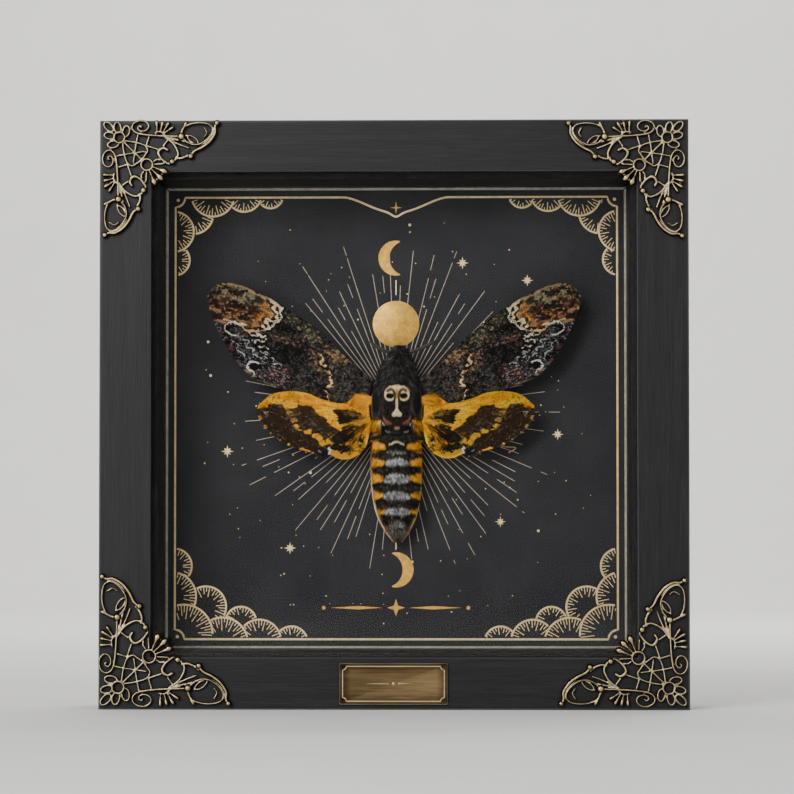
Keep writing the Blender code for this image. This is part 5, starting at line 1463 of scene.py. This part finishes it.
def hindwing_tint(x, z):
    """The hindwing: orange-yellow streaked from its root, with ragged black bands and yellow spots."""
    paint = Paint(x, z, "F6A410", 0.35, 61, 1.2)
    dx, dz = x - HIND_ROOT[0], z - HIND_ROOT[1]
    turn, reach = np.arctan2(dz, dx) * 30, np.hypot(dz, dx)
    streak = layered_noise(reach * 0.25, turn, 0.9, 62, 3)
    paint.mix(0.6 * soft_step(streak, 0.62, 0.12), "BC7814")
    paint.mix(0.75 * (1 - soft_step(streak, 0.46, 0.14)), "FFC238")
    paint.specks("7A4C12", 0.5, 0.05 + 0.08 * soft_step(x, 26, 10), 60, 0.7)
    paint.specks("B05E1A", 0.8, 0.4 * paint.near((12.0, -0.6, 3.6, 1.5, 0)), 72, 0.7)
    ragged = 2.6 * (layered_noise(reach * 0.3, turn, 1.1, 63, 3) - 0.5)
    paint.wx, paint.wz = paint.wx + ragged, paint.wz + 0.8 * ragged
    darks = [paint.within(outline, 0.15) for outline in HIND_DARK]
    dark = np.max(darks, axis=0)
    paint.mix(0.97 * dark, "171310")
    paint.specks("3A2C26", 0.8, 0.40 * dark, 64, 0.8)
    paint.specks("7A6A58", 0.5, 0.07 * dark, 65, 0.8)
    rim = dark * (1 - paint.within(HIND_DARK[0], 1.6))
    paint.specks("B87C1C", 0.55, 0.30 * rim, 66, 0.8)
    thin = paint.near((31.0, -4.6, 1.8, 1.6, 0), (26.6, -6.3, 1.0, 0.8, 0))
    paint.specks("7A6230", 0.7, 0.40 * thin, 59, 0.8)
    paint.ovals("F6B230", HIND_SPOTS, 0.18, 0.97)
    paint.ovals("B8924A", HIND_DULL_SPOTS, 0.22, 0.9)
    rays = layered_noise(reach * 0.12, turn, 2.2, 75, 2)
    base = paint.near((11.0, -7.0, 2.6, 3.0, 30), (13.6, -11.6, 2.6, 1.6, -30))
    paint.mix(0.95 * base * soft_step(rays, 0.51, 0.05), "1A130C")
    paint.line("B8923C", [(8.8, -5.2), (11.0, -6.2), (13.4, -7.2)], 0.5, 0.25, 0.9, 0.5)
    paint.mix(0.35 * dark * soft_step(streak, 0.64, 0.06), "3A2C1C")
    speckled = paint.near(*HIND_SPECKLED)
    paint.specks("5D4D2A", 0.9, 0.8 * speckled, 67, 0.9)
    paint.specks("17120C", 0.8, 0.65 * speckled, 68, 0.95)
    paint.specks("B9A064", 0.5, 0.16 * speckled, 69, 0.9)
    paint.ovals("14151C", [(22.0, -15.5, 1.9, 1.1, 0)], 0.2, 0.95)
    paint.specks("8F95A8", 0.6, 0.25 * paint.near((21.8, -15.5, 1.2, 0.8, 0)), 70)
    paint.ovals("F4F0E6", [(19.8, -15.0, 0.6, 0.9, 0)], 0.2)
    paint.line("EDA82C", [(18.6, -15.9), (16.6, -16.5), (14.2, -16.6), (12.2, -15.9)], 1.4, 0.3)
    paint.line("E0982A", [(29.0, -14.1), (26.2, -15.2), (24.2, -15.8)], 0.5, 0.15)
    for band in darks[1:]:
        paint.mix(0.92 * band * soft_step(streak, 0.28, 0.06), "15110D")
    paint.ovals("8A7440", [(12.6, -4.4, 1.0, 0.6, 20), (10.8, -4.6, 0.8, 0.4, 10)], 0.25, 0.8)
    dusted = paint.near((38.4, -4.0, 1.2, 0.9, 0), (30.0, -9.8, 1.2, 0.3, 25))
    paint.specks("B9AC8C", 0.5, 0.13 * dusted, 71, 0.8)
    return paint.rgb


# Scales on a hindwing and on a forewing
SCALES = (28000, 44000)
# Hair: number of tufts, lowest and highest u, lowest and highest v, and length. The fringes are those
# of the margin and the hind edge. The hindwing's last row is the thick tuft at its front.
FRINGES = [(1500, 0.998, 0.998, 0, 1, 0.55), (700, 0, 1, 0.997, 0.997, 0.55)]
FORE_ROOT_HAIR = [(1800, 0.0, 0.12, 0.01, 0.99, 1.3)]
HIND_ROOT_HAIR = [(3000, 0.0, 0.3, 0.01, 0.99, 0.9), (2400, 0.0, 0.10, 0.0, 0.24, 2.3)]


def build_wings(settings):
    """Each wing: a thin pleated membrane with raised veins, under overlapping scales and hair."""
    membrane = Finish("wing_membrane", 0.8, 4.0, 0.2, (0.6, 0.8), 0.03, Specular_IOR_Level=0.15)
    scales, hair = [Finish(name, 0.8, 3.0, 0.15, (0.5, 0.7), 0, Specular_IOR_Level=0.08) for name in
                    ("wing_scales", "wing_hair")]
    for name in WINGS:
        wing = Wing(name)
        settle(wing_membrane(wing, membrane), wing.slot, name)
        settle(wing_scales(wing, scales, settings.scale / MM), wing.slot)
        settle(wing_hair(wing, hair), wing.slot)


def wing_membrane(wing, finish):
    """The two faces of the wing, about a quarter of a millimetre apart and closed round the edge. The
    under side is paler and plainer."""
    rows, cols = (190, 110) if wing.fore else (150, 100)
    u, v = np.meshgrid(np.linspace(0, 1, rows), np.linspace(0, 1, cols), indexing="ij")
    edge = np.clip(np.minimum(np.minimum(v, 1 - v) * cols, (1 - u) * rows) / 3, 0.25, 1) ** 0.5
    thick = (0.09 + 0.05 * (1 - u)) * edge
    front = wing.point(u, v, thick + wing.vein(u, v) * edge)
    back = wing.point(u, v, -thick - 0.6 * wing.vein(u, v) * edge)
    shape = Shape()
    shape.loft(np.concatenate([front, back[:, ::-1]], 1), strip=True)
    obj = shape.mesh(wing.name + "_membrane", finish)
    colours = wing.tint(u.ravel(), v.ravel()).reshape(rows, cols, 3)
    under = 0.55 * colours + 0.2 * rgb("8A6A34" if wing.fore else "E0A030")
    set_tint(obj, np.concatenate([colours * 0.85, under[:, ::-1]], 1).reshape(-1, 3))
    return obj


def wing_scales(wing, finish, long):
    """Kite-shaped scales in loose rows over the front, longer and slimmer like hair near the root."""
    rng = np.random.default_rng(101 if wing.fore else 103 + wing.sign)
    count = int(SCALES[wing.fore] * TUFT_SHARE)
    u, v = scatter(wing.point, 120, 80, count, rng)

    def raised(a, b):
        return wing.point(a, b, 0.1 + wing.vein(a, np.clip(b, 0, 1)))

    root, normal, out, _ = surface_frame(raised, u, v, wing.sign)
    normal[normal[:, 1] > 0] *= -1
    along = unit(out + rng.normal(0, 0.16, count)[:, None] * np.cross(normal, out))
    hairy = np.clip(1.1 - 6 * u, 0, 1)
    size = rng.uniform(0.75, 1.25, count) * long
    length = size * (1 + 0.7 * hairy)
    made = scale_points(0.57 * size * (1 - 0.5 * hairy), length, rng.uniform(0.05, 0.13, count) * (1 + hairy))
    root = root - 0.5 * length[:, None] * along
    colours, place = wing.tint(u, v), (root, normal, along, np.stack([u, v], -1))
    return coat_mesh(wing.name + "_scales", finish, made, place, colours, rng.uniform(0.74, 1.3, count))


def wing_hair(wing, finish):
    """Short fringes along the margin and hind edge, and softer, longer hair over the root."""
    rng = np.random.default_rng(201 if wing.fore else 203 + wing.sign)
    parts = [*FRINGES, *(FORE_ROOT_HAIR if wing.fore else HIND_ROOT_HAIR)]
    kind = np.repeat(np.arange(len(parts)), [int(part[0] * TUFT_SHARE) for part in parts])
    count = len(kind)
    _, low_u, high_u, low_v, high_v, long = np.array(parts)[kind].T
    u = np.clip(low_u + (high_u - low_u) * rng.random(count) ** 1.3, 0.001, 0.998)
    v = np.clip(low_v + (high_v - low_v) * rng.random(count), 0.002, 0.998)
    root, normal, out, down = surface_frame(wing.point, u, v, wing.sign)
    normal[normal[:, 1] > 0] *= -1
    hind_edge, inner, tuft = kind == 1, kind > 1, kind == 3
    sway = rng.normal(0, 0.2, count) * (1 + tuft)
    along = np.where(hind_edge[:, None], down + 0.5 * out, out)
    along = unit(along + sway[:, None] * np.cross(normal, out))
    root = root + normal * (0.12 + inner * rng.uniform(0.0, 0.4, count))[:, None]
    root = root - out * (tuft * rng.uniform(0, 1.3, count))[:, None]
    long = long * rng.uniform(0.6, 1.2, count)
    made = hair_points(rng.uniform(0.09, 0.17, count), long, rng.uniform(0.0, 0.15, count) * long)
    colours = wing.tint(u, v)
    if not wing.fore:
        colours[tuft] = rgb("F0A826") * rng.uniform(0.45, 1.3, tuft.sum())[:, None]
    place = (root, normal, along, np.stack([u, v], -1))
    return coat_mesh(wing.name + "_fringe", finish, made, place, colours, rng.uniform(0.7, 1.3, count))


# Feelers, eyes and legs

# The right eye: how far out, depth and height
EYE = (2.45, 22.3, 11.8)
EYE_RADIUS = 1.6
# Tips of the feelers: how far out, and height
FEELER_TIPS = {"left": (9.3, 17.3), "right": (11.2, 17.9)}


def beside_body(height, degrees, reach):
    """A point this far off the body's side, 0 degrees outwards and 90 at its back."""
    wide, deep, middle = section_at(height)
    t = math.radians(degrees)
    normal = np.array([deep * math.cos(t), wide * math.sin(t)])
    normal /= np.linalg.norm(normal)
    return (wide * math.cos(t) + reach * normal[0], middle + deep * math.sin(t) + reach * normal[1], height)


def limb(name, finish, sign, knots, radii, joints, colours, node_name, count=90):
    """A leg or feeler: a round section along a curve, ringed or swollen at its joints."""
    path = along_path([(sign * x + float(body_bend(z)), y, z) for x, y, z in knots], np.linspace(0, 1, count))
    share = np.linspace(0, 1, count)
    radius = np.interp(share, np.linspace(0, 1, len(radii)), radii)
    if joints > 12:
        radius = radius * (1 + 0.14 * np.abs(np.sin(share * math.pi * joints)))
    else:
        near = np.abs((share * joints) % 1 - 0.5) * 2
        radius = radius * (0.82 + 0.3 * near**4)
    shape = Shape()
    shape.sweep(path + MOTH, oval_section(radius, radius, sides=12), rounded=True)
    obj = shape.mesh(name, finish)
    points = shape.points[0]
    apart = np.linalg.norm(points[:, None, ::2] - (path + MOTH)[None, :, ::2], axis=-1)
    place_on = np.argmin(apart, axis=1) / (count - 1)
    stops = np.linspace(0, 1, len(colours))
    table = np.array([rgb(code) for code in colours])
    tint = np.stack([np.interp(place_on, stops, column) for column in table.T], -1)
    set_tint(obj, tint * (0.8 + 0.3 * np.abs(np.sin(place_on * math.pi * joints)))[:, None])
    settle(obj, "dark_horn", node_name)


def build_limbs():
    """Eyes, feelers and the six folded legs."""
    horn = Finish("dark_chitin", 1.0, 5.0, 0.25, (0.34, 0.5), 0.03)
    eye = compound_eye()
    near = 0.8
    for side, sign in (("left", -1), ("right", 1)):
        shape = Shape()
        centre = MOTH + (sign * EYE[0] + float(body_bend(EYE[2])), EYE[1], EYE[2])
        ball(shape, centre, (EYE_RADIUS,) * 3, 26, 36)
        settle(shape.mesh("compound_eye_" + side, eye), "dark_horn", "eye_" + side)
        tip = FEELER_TIPS[side]
        root = beside_body(13.9, -10, near + 0.1)
        middle = ((root[0] + tip[0]) / 2, 21.4, root[2] + 0.42 * (tip[1] - root[2]))
        feeler = [root, middle, (tip[0], 22.4, tip[1])]
        limb("feeler_" + side, horn, sign, feeler, (0.36, 0.46, 0.5, 0.46, 0.2), 46,
             ["15110E", "211C18", "191512"], "antenna_" + side, 150)
        fore = [beside_body(4.8, 50, near), beside_body(8.6, 52, near + 0.15), (2.6, 26.4, 12.4)]
        limb("fore_leg_" + side, horn, sign, fore, (0.45, 0.4, 0.3), 4,
             ["3A2A1C", "5A432C"], "leg_fore_" + side)
        if side == "right":
            foot = [(22.0, 25.4, -10.6), (31.0, 25.3, -13.5), (35.0, 25.3, -14.0), (33.0, 25.3, -15.4)]
        else:
            foot = [(21.0, 25.4, -10.4), (28.5, 25.3, -12.6)]
        knots = [beside_body(-2.4, 32, near + 0.05), (12.0, 25.4, -7.0), *foot]
        limb("middle_leg_" + side, horn, sign, knots, (0.5, 0.46, 0.38, 0.28, 0.2), 8,
             ["3A2A1C", "5F452B", "B0905E"], "leg_middle_" + side)
        around = 24 if side == "left" else 32
        hind = [beside_body(-6.6, 34, near + 0.05)]
        hind += [beside_body(h, around, near + 0.05) for h in (-13.0, -20.0, -27.0, -33.5, -38.5, -41.6)]
        limb("hind_leg_" + side, horn, sign, hind, (0.5, 0.46, 0.42, 0.38, 0.32, 0.22), 10,
             ["3A2A1C", "6A4C2C", "D2B483", "C09C68"], "leg_hind_" + side, 140)


# Stage


def build_stage(settings):
    """A pale floor that curves up into a pale backdrop, soft lights, and the camera."""
    y, z = 1000 * np.vstack([(-2.4, 0.0), (1.5, 0.0), arc((1.5, 0.5), 0.5, 270, 360, 14), (2.0, 2.2)]).T
    points = np.concatenate([np.column_stack([np.full(len(y), x), y, z - 0.02]) for x in (-2600.0, 2600.0)])
    faces = grid_faces(2, len(y), wrap_cols=False)[:, ::-1]
    paper = Finish("pale_paper", 0.002, 0.02, [(0.3, "ECEAE6"), (0.7, "F4F2EF")], (0.85, 0.95), 0)
    mesh_object("floor_sweep", points, [faces], paper)
    for name, place, aim, size, power in (
        ("key_light", (-0.50, -1.10, 0.62), (0.0, 0.0, 0.08), 0.6, settings.key),
        ("side_light", (-0.62, -0.70, 0.10), (0.0, 0.0, 0.08), 0.3, settings.key * 0.2),
        ("fill_light", (0.9, -1.1, 0.5), (0.0, 0.0, 0.08), 0.9, settings.key * 0.30),
        ("top_light", (0.0, 0.1, 1.3), (0.0, 0.0, 0.0), 0.8, settings.key * 0.15),
        ("backdrop_light", (0.0, 0.9, 1.4), (0.0, 2.0, 0.3), 0.9, settings.key * 1.7),
        ("back_light", (0.7, 1.1, 0.7), (0.0, 0.0, 0.08), 0.8, settings.key * 0.35),
    ):
        data = bpy.data.lights.new(name, "AREA")
        data.shape, data.size, data.energy = "DISK", size, power
        lamp = bpy.data.objects.new(name, data)
        lamp.location = place
        lamp.rotation_euler = (Vector(aim) - Vector(place)).to_track_quat("-Z", "Y").to_euler()
        bpy.context.scene.collection.objects.link(lamp)
    world = bpy.data.worlds.new("studio")
    world.use_nodes = True
    sky = next(n for n in world.node_tree.nodes if n.type == "BACKGROUND")
    sky.inputs["Color"].default_value = linear("E6E8EA")
    sky.inputs["Strength"].default_value = settings.ambient
    bpy.context.scene.world = world
    data = bpy.data.cameras.new("camera")
    data.lens, data.sensor_width, data.shift_y = 149.9, 36, 0.05
    data.clip_start, data.clip_end = 0.01, 20
    camera = bpy.data.objects.new("camera", data)
    camera.location = Vector((24.5, FACE - 950, 45.0)) * MM
    aim = Vector((0.99, FACE, 78.4)) * MM
    camera.rotation_euler = (aim - camera.location).to_track_quat("-Z", "Y").to_euler()
    bpy.context.scene.collection.objects.link(camera)
    bpy.context.scene.camera = camera


# Settings, operators and panel


def length(name, text, default):
    return FloatProperty(name=name, description=text, default=default, min=0.0, unit="LENGTH", precision=5)


class SpecimenCase(bpy.types.PropertyGroup):
    """Sizes of the frame and of what is printed on its card."""

    arris: length("Arris", "Radius of the moulding's outer edges", 0.8 * MM)
    grain: length("Grain depth", "Depth of the wood grain under the paint", 0.12 * MM)
    foil: length("Foil", "How far the print stands off the card", 0.04 * MM)
    rays: IntProperty(name="Rays", description="Number of rays in the burst", default=94, min=12)


class SpecimenMoth(bpy.types.PropertyGroup):
    """Sizes of the moth's coat."""

    hair: length("Hair", "Length of the body's hair", 1.0 * MM)
    scale: length("Scale", "Length of a wing scale", 0.42 * MM)


class SpecimenStage(bpy.types.PropertyGroup):
    """Light of the stage."""

    key: FloatProperty(name="Key light", description="Power of the key light", default=12.5, unit="POWER")
    ambient: FloatProperty(name="Ambient", description="Strength of the surrounding light", default=0.42)


class BuildMoulding(bpy.types.Operator):
    """Builds the painted moulding."""

    bl_idname, bl_label = "specimen.moulding", "Moulding"

    def execute(self, context):
        build_moulding(context.scene.specimen_case)
        return {"FINISHED"}


class BuildLining(bpy.types.Operator):
    """Finishes the glass, spacers, fillets, card and back."""

    bl_idname, bl_label = "specimen.lining", "Lining"

    def execute(self, context):
        build_lining()
        return {"FINISHED"}


class BuildCardPrint(bpy.types.Operator):
    """Stamps the foil print on the card."""

    bl_idname, bl_label = "specimen.card_print", "Card print"

    def execute(self, context):
        build_card_print(context.scene.specimen_case)
        return {"FINISHED"}


class BuildCastings(bpy.types.Operator):
    """Builds the four corner castings."""

    bl_idname, bl_label = "specimen.castings", "Castings"

    def execute(self, context):
        build_castings()
        return {"FINISHED"}


class BuildPlate(bpy.types.Operator):
    """Builds the plaque."""

    bl_idname, bl_label = "specimen.plate", "Plate"

    def execute(self, context):
        build_plate()
        return {"FINISHED"}


class BuildBody(bpy.types.Operator):
    """Builds the moth's skin and coat."""

    bl_idname, bl_label = "specimen.body", "Body"

    def execute(self, context):
        build_body(context.scene.specimen_moth)
        return {"FINISHED"}


class BuildWings(bpy.types.Operator):
    """Builds the wings and their scales."""

    bl_idname, bl_label = "specimen.wings", "Wings"

    def execute(self, context):
        build_wings(context.scene.specimen_moth)
        return {"FINISHED"}


class BuildLimbs(bpy.types.Operator):
    """Builds the eyes, feelers and legs."""

    bl_idname, bl_label = "specimen.limbs", "Limbs"

    def execute(self, context):
        build_limbs()
        return {"FINISHED"}


class BuildStage(bpy.types.Operator):
    """Sets the floor, lights and camera."""

    bl_idname, bl_label = "specimen.stage", "Stage"

    def execute(self, context):
        build_stage(context.scene.specimen_stage)
        return {"FINISHED"}


OPERATORS = (
    BuildMoulding, BuildLining, BuildCardPrint, BuildCastings, BuildPlate,
    BuildBody, BuildWings, BuildLimbs, BuildStage,
)


class SpecimenPanel(bpy.types.Panel):
    """Lists the settings and the steps that build the specimen."""

    bl_idname, bl_label = "SPECIMEN_PT_panel", "Framed specimen"
    bl_space_type, bl_region_type, bl_category = "VIEW_3D", "UI", "Specimen"

    def draw(self, context):
        for group in (context.scene.specimen_case, context.scene.specimen_moth, context.scene.specimen_stage):
            for key in group.__annotations__:
                self.layout.prop(group, key)
        for step in OPERATORS:
            self.layout.operator(step.bl_idname)


GROUPS = {"specimen_case": SpecimenCase, "specimen_moth": SpecimenMoth, "specimen_stage": SpecimenStage}


def register():
    for item in (*GROUPS.values(), *OPERATORS, SpecimenPanel):
        bpy.utils.register_class(item)
    for key, group in GROUPS.items():
        setattr(bpy.types.Scene, key, PointerProperty(type=group))


def unregister():
    for key in GROUPS:
        delattr(bpy.types.Scene, key)
    for item in (SpecimenPanel, *reversed(OPERATORS), *reversed(list(GROUPS.values()))):
        bpy.utils.unregister_class(item)


def main():
    """Builds every piece in order."""
    register()
    for step in OPERATORS:
        getattr(bpy.ops.specimen, step.bl_idname.split(".")[1])()


if __name__ == "__main__":
    main()
